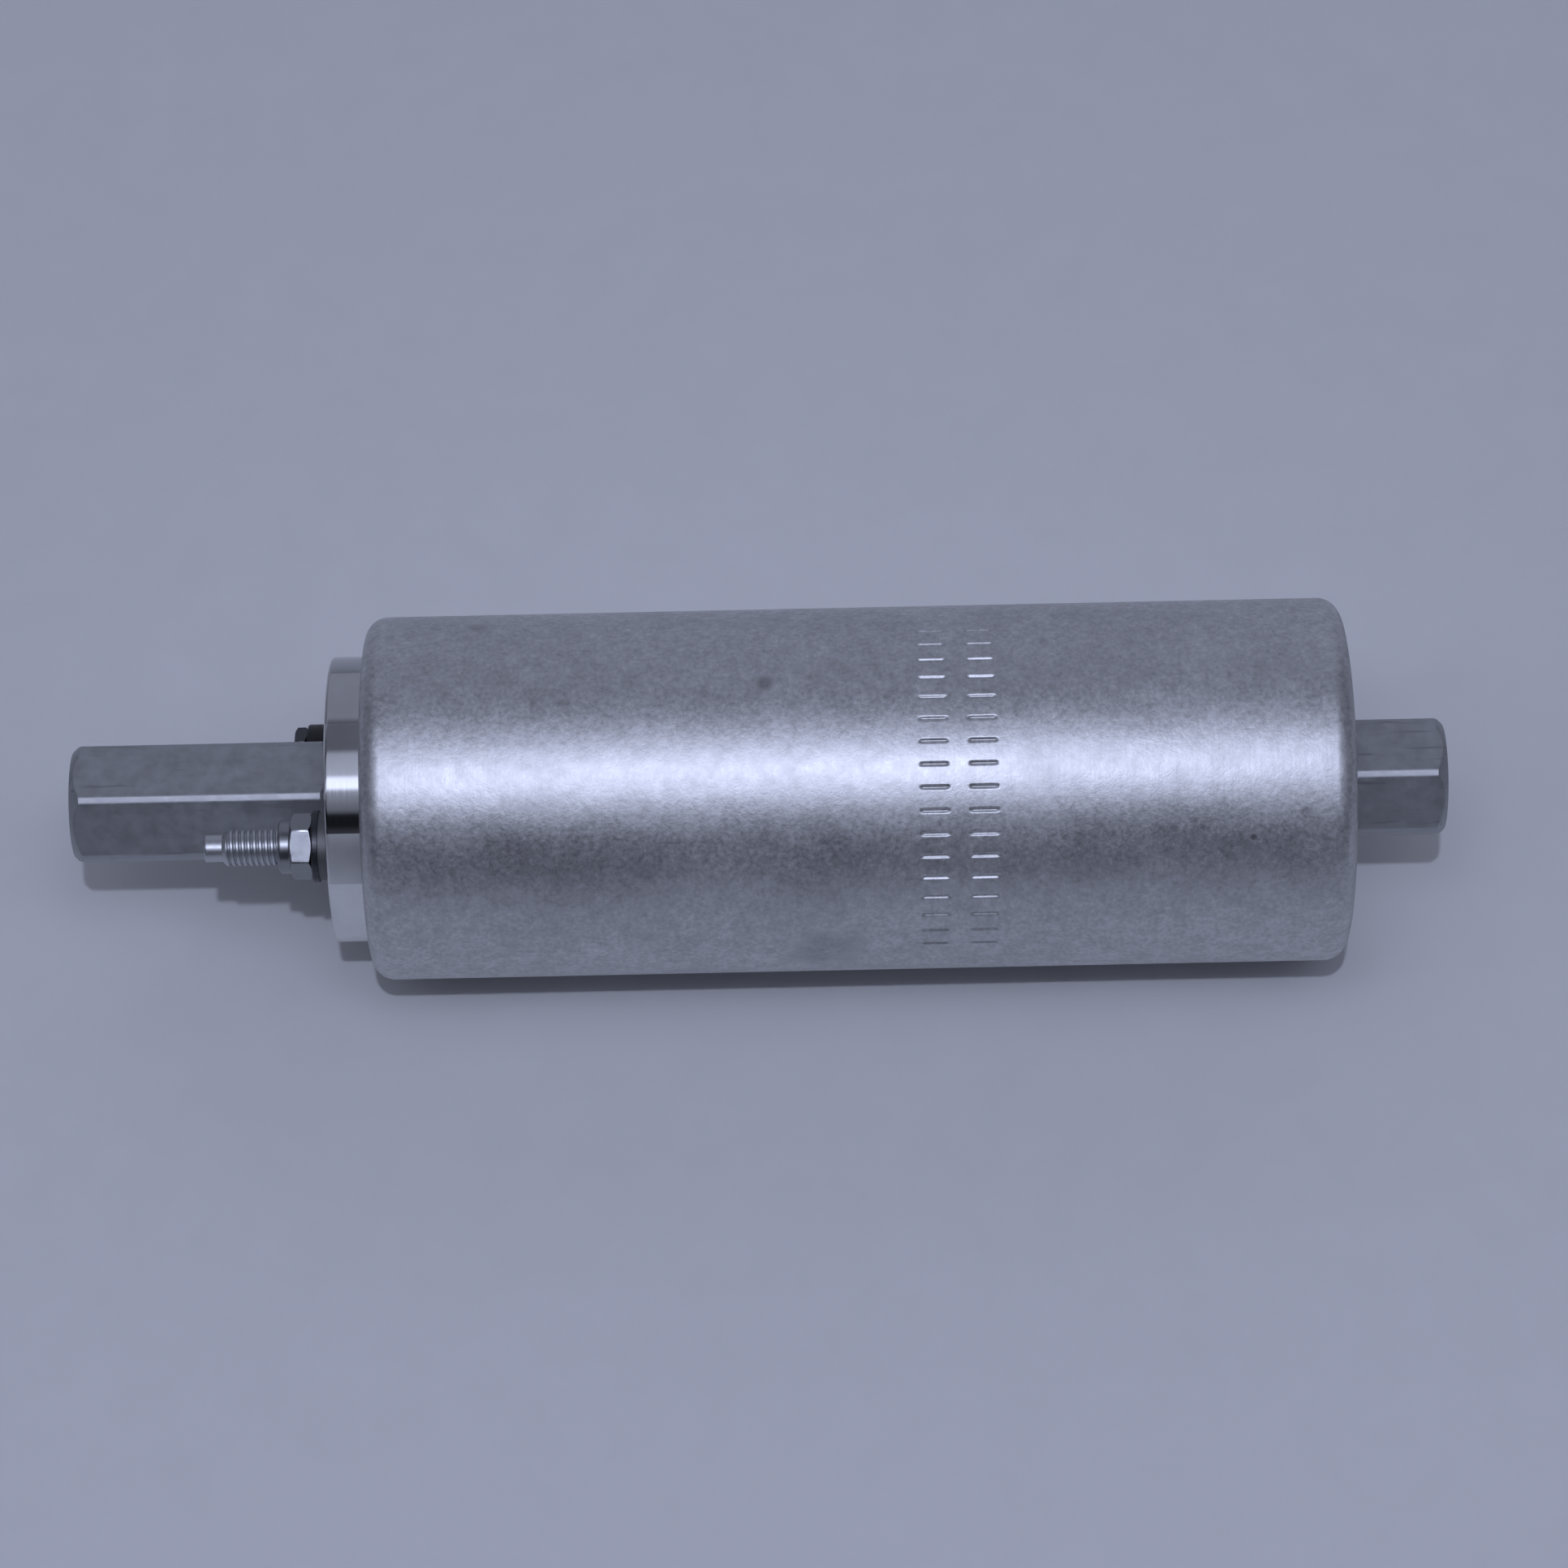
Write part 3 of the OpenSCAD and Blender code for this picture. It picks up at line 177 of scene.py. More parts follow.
class TerminalSizes(bpy.types.PropertyGroup):
    """Terminals"""

    front_r: size("Front thread", "Thread radius of the front stud", 2.5)
    front_pitch: size("Front pitch", "Thread pitch of the front stud", 0.8)
    rear_r: size("Rear thread", "Thread radius of the rear stud", 2)
    rear_pitch: size("Rear pitch", "Thread pitch of the rear stud", 0.7)
    thread_share: bpy.props.FloatProperty(
        name="Thread depth", description="Thread depth as a share of its pitch", default=0.5
    )
    point_share: bpy.props.FloatProperty(
        name="Point", description="Radius of a stud's plain point as a share of its thread", default=0.76
    )
    point_l: size("Point length", "Length of a stud's plain point", 2.5)
    head_l: size("Head", "Thickness of a stud's head inside the cap", 1.7)
    lock_af: size("Lock nut width", "Width of the lock nut across its flats", 8)
    lock_turn: turn("Lock nut turn", "Angle of one of the lock nut's corners", 33)
    lock_collar_h: size("Collar height", "Height of the lock nut's round collar", 1.7)
    lock_collar_r: size("Collar radius", "Radius of the lock nut's round collar", 3.7)
    ring_r: size("Ring seat", "Radius of the nylon ring's seat in the collar", 3.2)
    ring_h: size("Ring height", "Height of the nylon ring", 1.2)
    thin_af: size("Thin nut width", "Width of the thin nut across its flats", 7)
    thin_turn: turn("Thin nut turn", "Angle of one of the thin nut's corners", 33)
    sleeve_r: size("Sleeve", "Radius of the insulator's sleeve in the cap", 3.2)
    gap: size("Gap", "Gap between a stud and what it passes through", 0.05)
    edge: size("Edge", "Rounding of the small pieces' edges", 0.12)


class WireSizes(bpy.types.PropertyGroup):
    """Springs and chokes"""

    check_r: size("Check coil", "Radius of the check spring's coil", 2.2)
    check_wire: size("Check wire", "Radius of the check spring's wire", 0.3)
    relief_r: size("Relief coil", "Radius of the relief spring's coil", 1.5)
    relief_wire: size("Relief wire", "Radius of the relief spring's wire", 0.25)
    brush_r: size("Brush coil", "Radius of a brush spring's coil", 1.7)
    brush_wire: size("Brush wire", "Radius of a brush spring's wire", 0.2)
    choke_r: size("Choke coil", "Radius of a choke's coil", 1.984)
    choke_wire: size("Choke wire", "Radius of a choke's wire", 0.4)


class Finishes(bpy.types.PropertyGroup):
    """Finishes"""

    can: tint("Can", "Drawn aluminium", "CFD0D2")
    cap: tint("Cap", "Turned aluminium", "E4E5E6")
    hexes: tint("Hexes", "Dull plating of the ports", "B2B4B7")
    zinc: tint("Zinc", "Bright plating of the terminals", "C4C6C9")
    insulator: tint("Insulator", "Black nylon", "151517")
    floor: tint("Floor", "Table top", "E0E1E3")


class StageSizes(bpy.types.PropertyGroup):
    """Stage"""

    elevation: turn("Elevation", "Height of the camera above the horizon", 56.5)
    roll: turn("Roll", "Turn of the camera about its own axis", 1.2)
    distance: size("Distance", "Distance of the camera from the pump's axis", 750)
    width: size("Picture width", "Width of the picture at the pump's axis", 219.9)
    aim_x: size("Aim", "Station that the picture is centred on", -10.4)
    aim_up: size("Aim height", "Distance of the picture's centre above the axis", 0.87)
    light_x: size("Light station", "Station that the lights stand over", -18)
    key_elevation: turn("Key elevation", "Height of the key light above the horizon", 66.3)
    key_distance: size("Key distance", "Distance of the key light from the pump's axis", 1250)
    key_size: size("Key size", "Width of the key light", 30)
    key_power: power("Key power", "Power of the key light", 3.3)
    fill_elevation: turn("Fill elevation", "Height of the fill light above the horizon", 74)
    fill_distance: size("Fill distance", "Distance of the fill light from the pump's axis", 450)
    fill_size: size("Fill size", "Width of the fill light", 110)
    fill_power: power("Fill power", "Power of the fill light", 0.1)
    tone: tint("Light", "Colour of the light", "DCE3FF")


GROUPS = {
    "pump_can": CanSizes, "pump_hexes": HexSizes, "pump_terminals": TerminalSizes,
    "pump_wires": WireSizes, "pump_finishes": Finishes, "pump_stage": StageSizes,
}


# Meshes


def middle(node):
    """Middle of a CAD node's box across the axis, as (y, z)."""
    low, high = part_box(node)
    return (low.y + high.y) / 2, (low.z + high.z) / 2


def span(node):
    """Both stations and the radius of a round CAD node."""
    low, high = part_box(node)
    return low.x, high.x, (high.y - low.y) / 2


def new_object(name, data):
    """Object that is linked into the scene."""
    made = bpy.data.objects.new(name, data)
    bpy.context.scene.collection.objects.link(made)
    return made


def arc(before, here, after, fillet, steps, support):
    """Points of a corner's fillet, with one close to each end that keeps the long faces' shading flat."""
    if not fillet:
        return [here]
    to_before = (before - here) / np.linalg.norm(before - here)
    to_after = (after - here) / np.linalg.norm(after - here)
    half = math.acos(np.clip(to_before @ to_after, -1, 1)) / 2
    reach = fillet / math.tan(half)
    bisector = (to_before + to_after) / np.linalg.norm(to_before + to_after)
    centre = here + bisector * fillet / math.sin(half)
    start, end = here + to_before * reach, here + to_after * reach
    spokes = [start + (end - start) * k / steps - centre for k in range(steps + 1)]
    curve = [centre + spoke / np.linalg.norm(spoke) * fillet for spoke in spokes]
    return [start + to_before * support * fillet, *curve, end + to_after * support * fillet]


def outline(corners, steps=6, support=0.3):
    """Closed outline from (radius, station, fillet, step) corners, where the last two may be left out.

    Each corner becomes an arc of its fillet, and the straight run after it is cut into steps.
    """
    corners = [(*corner, *(0, 0)[len(corner) - 2:]) for corner in corners]
    spots = [np.array(corner[:2]) for corner in corners]
    arcs = [
        arc(spots[i - 1], spots[i], spots[(i + 1) % len(spots)], corners[i][2], steps, support)
        for i in range(len(spots))
    ]
    points = []
    for i, here in enumerate(arcs):
        points += here
        run = arcs[(i + 1) % len(arcs)][0] - here[-1]
        count = math.ceil(np.linalg.norm(run) / corners[i][3]) if corners[i][3] else 1
        points += [here[-1] + run * k / count for k in range(1, count)]
    return np.array(points)


def revolve(name, points, angles, centre=(0, 0), shape=None):
    """Piece turned from a closed outline of (radius, station) points about a line along X.

    shape, if given, works out new radii from the outline's radii and the angles.
    """
    radii, stations = (points[:, k][:, None] + 0 * angles for k in (0, 1))
    around = angles + 0 * radii
    if shape:
        radii = shape(radii, around)
    y = centre[0] + radii * np.cos(around)
    z = centre[1] + radii * np.sin(around)
    spots = np.stack((stations, y, z), axis=-1).reshape(-1, 3)
    rows, columns = radii.shape
    row, column = (grid.ravel() for grid in np.mgrid[0:rows, 0:columns])
    next_row, next_column = (row + 1) % rows, (column + 1) % columns
    faces = np.stack((
        row * columns + column, row * columns + next_column,
        next_row * columns + next_column, next_row * columns + column,
    ), axis=-1)
    mesh = bpy.data.meshes.new(name)
    mesh.from_pydata(spots.tolist(), [], faces.tolist())
    piece = new_object(name, mesh)
    tidy_mesh(mesh)
    return piece


def tidy_mesh(mesh, merge=1e-7, sharp=math.radians(35)):
    """Merges doubles, points the faces outwards and shades them smoothly up to an angle."""
    work = bmesh.new()
    work.from_mesh(mesh)
    bmesh.ops.remove_doubles(work, verts=work.verts, dist=merge)
    bmesh.ops.dissolve_degenerate(work, edges=work.edges, dist=merge)
    bmesh.ops.recalc_face_normals(work, faces=work.faces)
    work.to_mesh(mesh)
    work.free()
    mesh.shade_smooth()
    mesh.set_sharp_from_angle(angle=sharp)


def even_angles(count):
    """Angles in equal steps round a circle."""
    return np.arange(count) * TURN / count


def hex_angles(corner):
    """Angles round a hex, close together near its corners, of which one is at the angle corner."""
    near, fine_count, coarse_count = np.radians(7), 29, 10
    fine = np.linspace(-near, near, fine_count)
    coarse = np.linspace(near, SIXTH - near, coarse_count)[1:-1]
    return corner + np.concatenate([np.concatenate((fine, coarse)) + SIXTH * k for k in range(6)])


def hex_cut(across, corner, edge):
    """Shape for revolve that cuts flats on an outline and rounds the edges that this leaves."""
    def shape(radii, angles):
        from_flat = (angles - corner) % SIXTH - SIXTH / 2
        flats = across / 2 / np.cos(from_flat)
        share = np.clip(0.5 + 0.5 * (flats - radii) / edge, 0, 1)
        return flats + (radii - flats) * share - edge * share * (1 - share)
    return shape


def finish(piece, body, slot, *nodes):
    """Gives a piece its material and the body that it rides on, and hides the CAD nodes that it stands
    for.
    """
    piece.data.materials.clear()
    piece.data.materials.append(COATS[slot])
    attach(piece, body)
    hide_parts(*nodes)


# Node trees


MATH = "ShaderNodeMath"
VECTOR = "ShaderNodeVectorMath"
RANGE = "ShaderNodeMapRange"
NOISE = "ShaderNodeTexNoise"
MIX = "ShaderNodeMix"


def put(tree, kind, links=(), operation=None, **settings):
    """Adds a node, with its settings, and links or values for its inputs: in order, or by name or number.

    A node that is given as a link stands for its first output in use.
    """
    node = tree.nodes.new(kind)
    if operation:
        node.operation = operation
    for key, value in settings.items():
        setattr(node, key, value)
    for key, value in links.items() if isinstance(links, dict) else enumerate(links):
        if isinstance(value, bpy.types.Node):
            value = next(socket for socket in value.outputs if socket.enabled)
        if isinstance(value, bpy.types.NodeSocket):
            tree.links.new(value, node.inputs[key])
        else:
            node.inputs[key].default_value = value
    return node


def polar(add, place):
    """A place's parts, the place without its X, its distance from the axis and its angle from +Y."""
    part = add("ShaderNodeSeparateXYZ", (place,)).outputs
    flat = add(VECTOR, (place, (0, 1, 1)), "MULTIPLY")
    radius = add(VECTOR, (flat,), "LENGTH")
    angle = add(MATH, (part["Z"], part["Y"]), "ARCTAN2")
    return part, flat, radius, angle


def distance(add, one, other):
    """How far two numbers are apart."""
    apart = add(MATH, (one, other), "SUBTRACT")
    return add(MATH, (apart,), "ABSOLUTE")


def new_tree(name, numbers, **others):
    """Geometry node tree with a mesh in, a mesh out and named inputs: others by kind, and numbers."""
    tree = bpy.data.node_groups.new(name, "GeometryNodeTree")
    tree.interface.new_socket("Geometry", in_out="OUTPUT", socket_type="NodeSocketGeometry")
    inputs = {"Geometry": "Geometry", **others, **dict.fromkeys(numbers, "Float")}
    for label, kind in inputs.items():
        tree.interface.new_socket(label, in_out="INPUT", socket_type=f"NodeSocket{kind}")
    add = partial(put, tree)
    return tree, add, add("NodeGroupInput").outputs


def close_tree(tree, add, shape, coat):
    """Ends a tree: what it makes becomes a real mesh with one material."""
    real = add("GeometryNodeRealizeInstances", {"Geometry": shape})
    coated = add("GeometryNodeSetMaterial", {"Geometry": real, "Material": coat})
    add("NodeGroupOutput", {"Geometry": coated})
    return tree


def close_cut(tree, add, given, outward, shares, coat):
    """Ends a tree that pushes its mesh inwards by the input Depth times all the shares."""
    amount = add(MATH, (given["Depth"], -1.0), "MULTIPLY")
    for share in shares:
        amount = add(MATH, (amount, share), "MULTIPLY")
    offset = add(VECTOR, {0: outward, "Scale": amount}, "SCALE")
    moved = add("GeometryNodeSetPosition", {"Geometry": given["Geometry"], "Offset": offset})
    return close_tree(tree, add, moved, coat)


def apply_tree(piece, tree, values):
    """Runs a node tree on a piece with values for its inputs, and keeps the result as a plain mesh."""
    modifier = piece.modifiers.new(tree.name, "NODES")
    modifier.node_group = tree
    for item in tree.interface.items_tree:
        if item.in_out == "INPUT" and item.name in values:
            modifier[item.identifier] = values[item.name]
    graph = bpy.context.evaluated_depsgraph_get()
    made = bpy.data.meshes.new_from_object(piece.evaluated_get(graph))
    piece.modifiers.clear()
    piece.data = made
    made.name = piece.name
    if not made.polygons:
        raise RuntimeError(f"{tree.name} made nothing for {piece.name}")


def thread_tree(coat):
    """Tree that cuts a helical thread into a round wall, towards its own axis."""
    tree, add, given = new_tree("thread", ("Wall radius", "Start", "End", "Pitch", "Depth"), Axis="Vector")
    start, end, pitch = given["Start"], given["End"], given["Pitch"]
    place = add("GeometryNodeInputPosition")
    from_axis = add(VECTOR, (place, given["Axis"]), "SUBTRACT")
    part, flat, radius, angle = polar(add, from_axis)
    # One turn climbs one pitch, so the groove's bottom lies where the climb and the angle agree
    turns = add(MATH, (angle, TURN), "DIVIDE")
    climb = add(MATH, (part["X"], pitch), "DIVIDE")
    phase = add(MATH, (climb, turns), "SUBTRACT")
    off_bottom = add(MATH, (phase, 0.5), "PINGPONG")
    groove = add(RANGE, (off_bottom, *GROOVE_SIDE, 1.0, 0.0))
    # The thread fades in and out over one pitch at its two ends
    past_start = add(MATH, (start, pitch), "ADD")
    fade_in = add(RANGE, (part["X"], start, past_start))
    before_end = add(MATH, (end, pitch), "SUBTRACT")
    fade_out = add(RANGE, (part["X"], end, before_end))
    # Only the wall at the thread's own radius is cut
    on_wall = add(MATH, (radius, given["Wall radius"], WALL_SLACK), "COMPARE")
    outward = add(VECTOR, (flat,), "NORMALIZE")
    return close_cut(tree, add, given, outward, (groove, fade_in, fade_out, on_wall), coat)


# Inputs of the strokes' tree, which are also the can's sizes whose names begin with mark_
MARKS = ("Middle", "Span", "Station", "Gap", "Length", "Width", "Pitch", "Depth")


def stroke_tree(coat):
    """Tree that stamps two columns of plain strokes into the can's outer wall."""
    tree, add, given = new_tree("stamped_strokes", ("Radius", *MARKS))
    place = add("GeometryNodeInputPosition")
    back = add(MATH, (given["Middle"], -1.0), "MULTIPLY")
    turned = add("ShaderNodeVectorRotate", {"Vector": place, "Angle": back}, rotation_type="X_AXIS")
    part, _, radius, angle = polar(add, turned)
    half = {
        key: add(MATH, (given[key], 0.5), "MULTIPLY")
        for key in ("Span", "Gap", "Length", "Width", "Pitch")
    }
    # Distance round the can from the middle of the nearest stroke
    around = add(MATH, (angle, given["Radius"]), "MULTIPLY")
    low = add(MATH, (half["Pitch"], -1.0), "MULTIPLY")
    near = add(MATH, (around, half["Pitch"], low), "WRAP")
    beside = add(MATH, (near,), "ABSOLUTE")
    across = add(RANGE, (beside, 0.0, half["Width"], 1.0, 0.0), interpolation_type="SMOOTHSTEP")
    # Distance along the can from the middle of the nearest column
    either_side = distance(add, part["X"], given["Station"])
    ahead = distance(add, either_side, half["Gap"])
    taper = add(MATH, (half["Length"], half["Width"]), "SUBTRACT")
    along = add(RANGE, (ahead, taper, half["Length"], 1.0, 0.0), interpolation_type="SMOOTHSTEP")
    # The strokes cover one stretch of the outer wall only
    in_span = add(MATH, (angle, 0.0, half["Span"]), "COMPARE")
    skin = add(MATH, (given["Radius"], SKIN), "SUBTRACT")
    outside = add(MATH, (radius, skin), "GREATER_THAN")
    outward = add("GeometryNodeInputNormal")
    return close_cut(tree, add, given, outward, (across, along, in_span, outside), coat)


def coil_tree(coat):
    """Tree that winds round wire into a coil."""
    tree, add, given = new_tree(
        "coil", ("Length", "Turns", "Coil radius", "Wire radius"), Start="Vector", Tilt="Rotation"
    )
    coil_r = given["Coil radius"]
    path = add("GeometryNodeCurveSpiral", {
        "Resolution": 36, "Rotations": given["Turns"], "Start Radius": coil_r, "End Radius": coil_r,
        "Height": given["Length"],
    })
    wire = add("GeometryNodeCurvePrimitiveCircle", {"Resolution": 12, "Radius": given["Wire radius"]})
    swept = add("GeometryNodeCurveToMesh", {"Curve": path, "Profile Curve": wire, "Fill Caps": True})
    placed = add("GeometryNodeTransform", {
        "Geometry": swept, "Translation": given["Start"], "Rotation": given["Tilt"],
    })
    return close_tree(tree, add, placed, coat)


# Materials


def new_material(name):
    """Empty material, what adds its nodes and its Object coordinates."""
    coat = bpy.data.materials.new(name)
    coat.use_nodes = True
    coat.node_tree.nodes.clear()
    add = partial(put, coat.node_tree)
    return coat, add, add("ShaderNodeTexCoord").outputs["Object"]


def surface(add, colour, metallic, roughness, height, depth):
    """Ends a material: one shader, with a bump whose depth is in millimetres."""
    bump = add("ShaderNodeBump", {"Height": height, "Distance": depth * MM})
    shader = add("ShaderNodeBsdfPrincipled", {
        "Base Color": colour, "Metallic": metallic, "Roughness": roughness, "Normal": bump,
    })
    add("ShaderNodeOutputMaterial", {"Surface": shader})


def per_mm(millimetres):
    """Texture scale at which one feature has a size in millimetres."""
    return 1 / (millimetres * MM)


def shade(base, share):
    """A colour made darker or lighter by a share."""
    return (*[min(1.0, part * share) for part in base[:3]], 1.0)


# Stains on the can: station, angle from +Y toward +Z, radius and strength, in millimetres and degrees
STAINS = (
    (-12.7, 88, 1.6, 0.4), (-52.3, 56, 2.2, 0.3), (53.2, 141, 0.6, 0.7), (-5, 184, 7, 0.3),
    (-29, 172, 5, 0.15),
)


def drawn_aluminium(base, box):
    """Drawn aluminium, tumbled: satin and speckled, with faint streaks, stains and painted shade on the
    corners of both ends.
    """
    coat, add, place = new_material("Drawn aluminium, tumbled satin")
    part, _, radius, angle = polar(add, place)
    low, high = box
    can_r, half = high.y, (high.x - low.x) / 2
    # Streaks 0.6 mm wide that run 30 times as far round the can as they are wide
    around = add(MATH, (angle, can_r / 30), "MULTIPLY")
    ringed = add("ShaderNodeCombineXYZ", (part["X"], around))
    streak = add(NOISE, {"Vector": ringed, "Scale": per_mm(0.6), "Detail": 2.0})
    speckle, mottle, cloud = (
        add(NOISE, {"Vector": place, "Scale": per_mm(width), "Detail": detail, "Roughness": fineness})
        for width, detail, fineness in ((0.7, 3.0, 0.75), (2, 2.0, 0.6), (14, 4.0, 0.6))
    )
    # Soft clouds of dirt, then the stains, whose edges the speckle frays
    marks_and_shade, marks = add(RANGE, (cloud, 0.35, 0.65, 0.16, 0.0)), []
    for station, degrees, stain_r, strength in STAINS:
        turned = math.radians(degrees)
        spot = (station * MM, can_r * math.cos(turned), can_r * math.sin(turned))
        apart = add(VECTOR, (place, spot), "DISTANCE")
        frayed = add(MATH, (speckle, -stain_r * MM, apart), "MULTIPLY_ADD")
        marks.append(add(RANGE, (frayed, -0.1 * stain_r * MM, 0.5 * stain_r * MM, strength, 0.0)))
    # A faint witness ring near the inlet end, 0.5 mm to each side
    off_ring = distance(add, part["X"], 44 * MM)
    ring = add(RANGE, (off_ring, 0.0, 0.5 * MM, 0.12, 0.0))
    # Painted shade on the corners of both ends, wider at the inlet
    off_middle = distance(add, part["X"], -0.5 * MM)
    at_end = add(RANGE, (off_middle, half - 1.3 * MM, half - 0.1 * MM, 0.0, 0.45))
    at_corner = add(RANGE, (radius, can_r - 4.5 * MM, can_r - 3 * MM))
    corner_shade = add(MATH, (at_end, at_corner), "MULTIPLY")
    # The painted corner shade joins the dirt, stains and witness ring in one mask
    for mark in (*marks, ring, corner_shade):
        marks_and_shade = add(MATH, (marks_and_shade, mark), "MAXIMUM")
    grain = add(MATH, (mottle, 0.5, speckle), "MULTIPLY_ADD")
    glint = add(RANGE, (grain, 0.45, 1.05))
    bright = add(MIX, {0: glint, 6: shade(base, 0.72), 7: shade(base, 1.28)}, data_type="RGBA")
    # The mask darkens the colour: real dirt and stains, and painted shade at the corners
    dirt_and_shade = add(MIX, {0: marks_and_shade, 6: bright, 7: shade(base, 0.2)}, data_type="RGBA")
    uneven = add(MATH, (speckle, cloud), "ADD")
    roughness = add(RANGE, (uneven, 0.7, 1.3, 0.42, 0.55))
    height = add(MATH, (streak, 0.4, speckle), "MULTIPLY_ADD")
    surface(add, dirt_and_shade, 1.0, roughness, height, 0.03)
    return coat


def turned_aluminium(base, face, wall):
    """Turned aluminium, polished: nearly a mirror with fine tool rings, dull on its pad and where rubbed,
    with painted shade on its pad and on the top of its wall.

    The pad stands past the station face, and the boss's wall lies outside the radius wall.
    """
    coat, add, place = new_material("Turned aluminium, polished")
    part, _, radius, angle = polar(add, place)
    # Tool rings of 0.1 mm are drawn 0.25 mm wide, so that they show
    feed = add(MATH, (part["X"], radius), "ADD")
    rings = add(NOISE, {"W": feed, "Scale": per_mm(0.25), "Detail": 2.0}, noise_dimensions="1D")
    haze = add(NOISE, {"Vector": place, "Scale": per_mm(5), "Detail": 3.0})
    tone = add(MIX, {0: haze, 6: shade(base, 0.85), 7: shade(base, 1.1)}, data_type="RGBA")
    polish = add(RANGE, (rings, 0.3, 0.7, 0.06, 0.1))
    # The pad is rougher, and painted shade darkens its colour to a quarter
    on_pad = add(MATH, (part["X"], face - WALL_SLACK), "LESS_THAN")
    dull = add(MIX, {0: on_pad, 6: tone, 7: shade(base, 0.25)}, data_type="RGBA")
    rough_pad = add(MATH, (on_pad, 0.5, polish), "MULTIPLY_ADD")
    # Two bands of the wall, in degrees from +Y toward +Z: one is rubbed dull, and the top one gets painted
    # shade
    on_wall = add(MATH, (radius, wall), "GREATER_THAN")
    beside, above = (
        add(MATH, (angle, math.radians(degrees), math.radians(reach)), "COMPARE")
        for degrees, reach in ((148, 11), (65, 27))
    )
    rubbed, top_shade = (add(MATH, (band, on_wall), "MULTIPLY") for band in (beside, above))
    roughness = add(MATH, (rubbed, 0.4, rough_pad), "MULTIPLY_ADD")
    # Painted shade on the top band: its colour is multiplied by this grey
    grey = shade((1, 1, 1), 0.68)
    colour = add(MIX, {0: top_shade, 6: dull, 7: grey}, data_type="RGBA", blend_type="MULTIPLY")
    surface(add, colour, 1.0, roughness, rings, 0.0012)
    return coat


def plated_steel(base):
    """Hex bar with dull plating: grey and mottled, with drawing lines along it and stray scratches."""
    coat, add, place = new_material("Plated steel hex bar, dull")
    mottle = add(NOISE, {"Vector": place, "Scale": per_mm(2.2), "Detail": 5.0, "Roughness": 0.65})
    drawn = add("ShaderNodeMapping", {"Vector": place, "Scale": (0.06, 1, 1)})
    lines = add(NOISE, {"Vector": drawn, "Scale": per_mm(0.4), "Detail": 2.0})
    leaning = add("ShaderNodeMapping", {
        "Vector": place, "Rotation": (0.5, 0.6, math.radians(38)), "Scale": (0.08, 1, 1),
    })
    nicks = add(NOISE, {"Vector": leaning, "Scale": per_mm(0.9)})
    scratch = add(RANGE, (nicks, 0.66, 0.74))
    tone = add(MIX, {0: mottle, 6: shade(base, 0.7), 7: shade(base, 1.25)}, data_type="RGBA")
    worn = add(MIX, {0: scratch, 6: tone, 7: shade(base, 0.75)}, data_type="RGBA")
    roughness = add(RANGE, (mottle, 0.3, 0.7, 0.48, 0.6))
    height = add(MATH, (lines, 0.5, mottle), "MULTIPLY_ADD")
    surface(add, worn, 1.0, roughness, height, 0.02)
    return coat


def grained(name, base, metallic, smooth, rough, grain, contrast, height, stretch=(1, 1, 1)):
    """Material whose colour, roughness and height follow one grain of a real size in millimetres."""
    coat, add, place = new_material(name)
    drawn = add("ShaderNodeMapping", {"Vector": place, "Scale": stretch})
    noise = add(NOISE, {"Vector": drawn, "Scale": per_mm(grain), "Detail": 4.0, "Roughness": 0.6})
    dark, light = shade(base, 1 - contrast), shade(base, 1 + contrast)
    tone = add(MIX, {0: noise, 6: dark, 7: light}, data_type="RGBA")
    roughness = add(RANGE, (noise, 0.3, 0.7, smooth, rough))
    surface(add, tone, metallic, roughness, noise, height)
    return coat


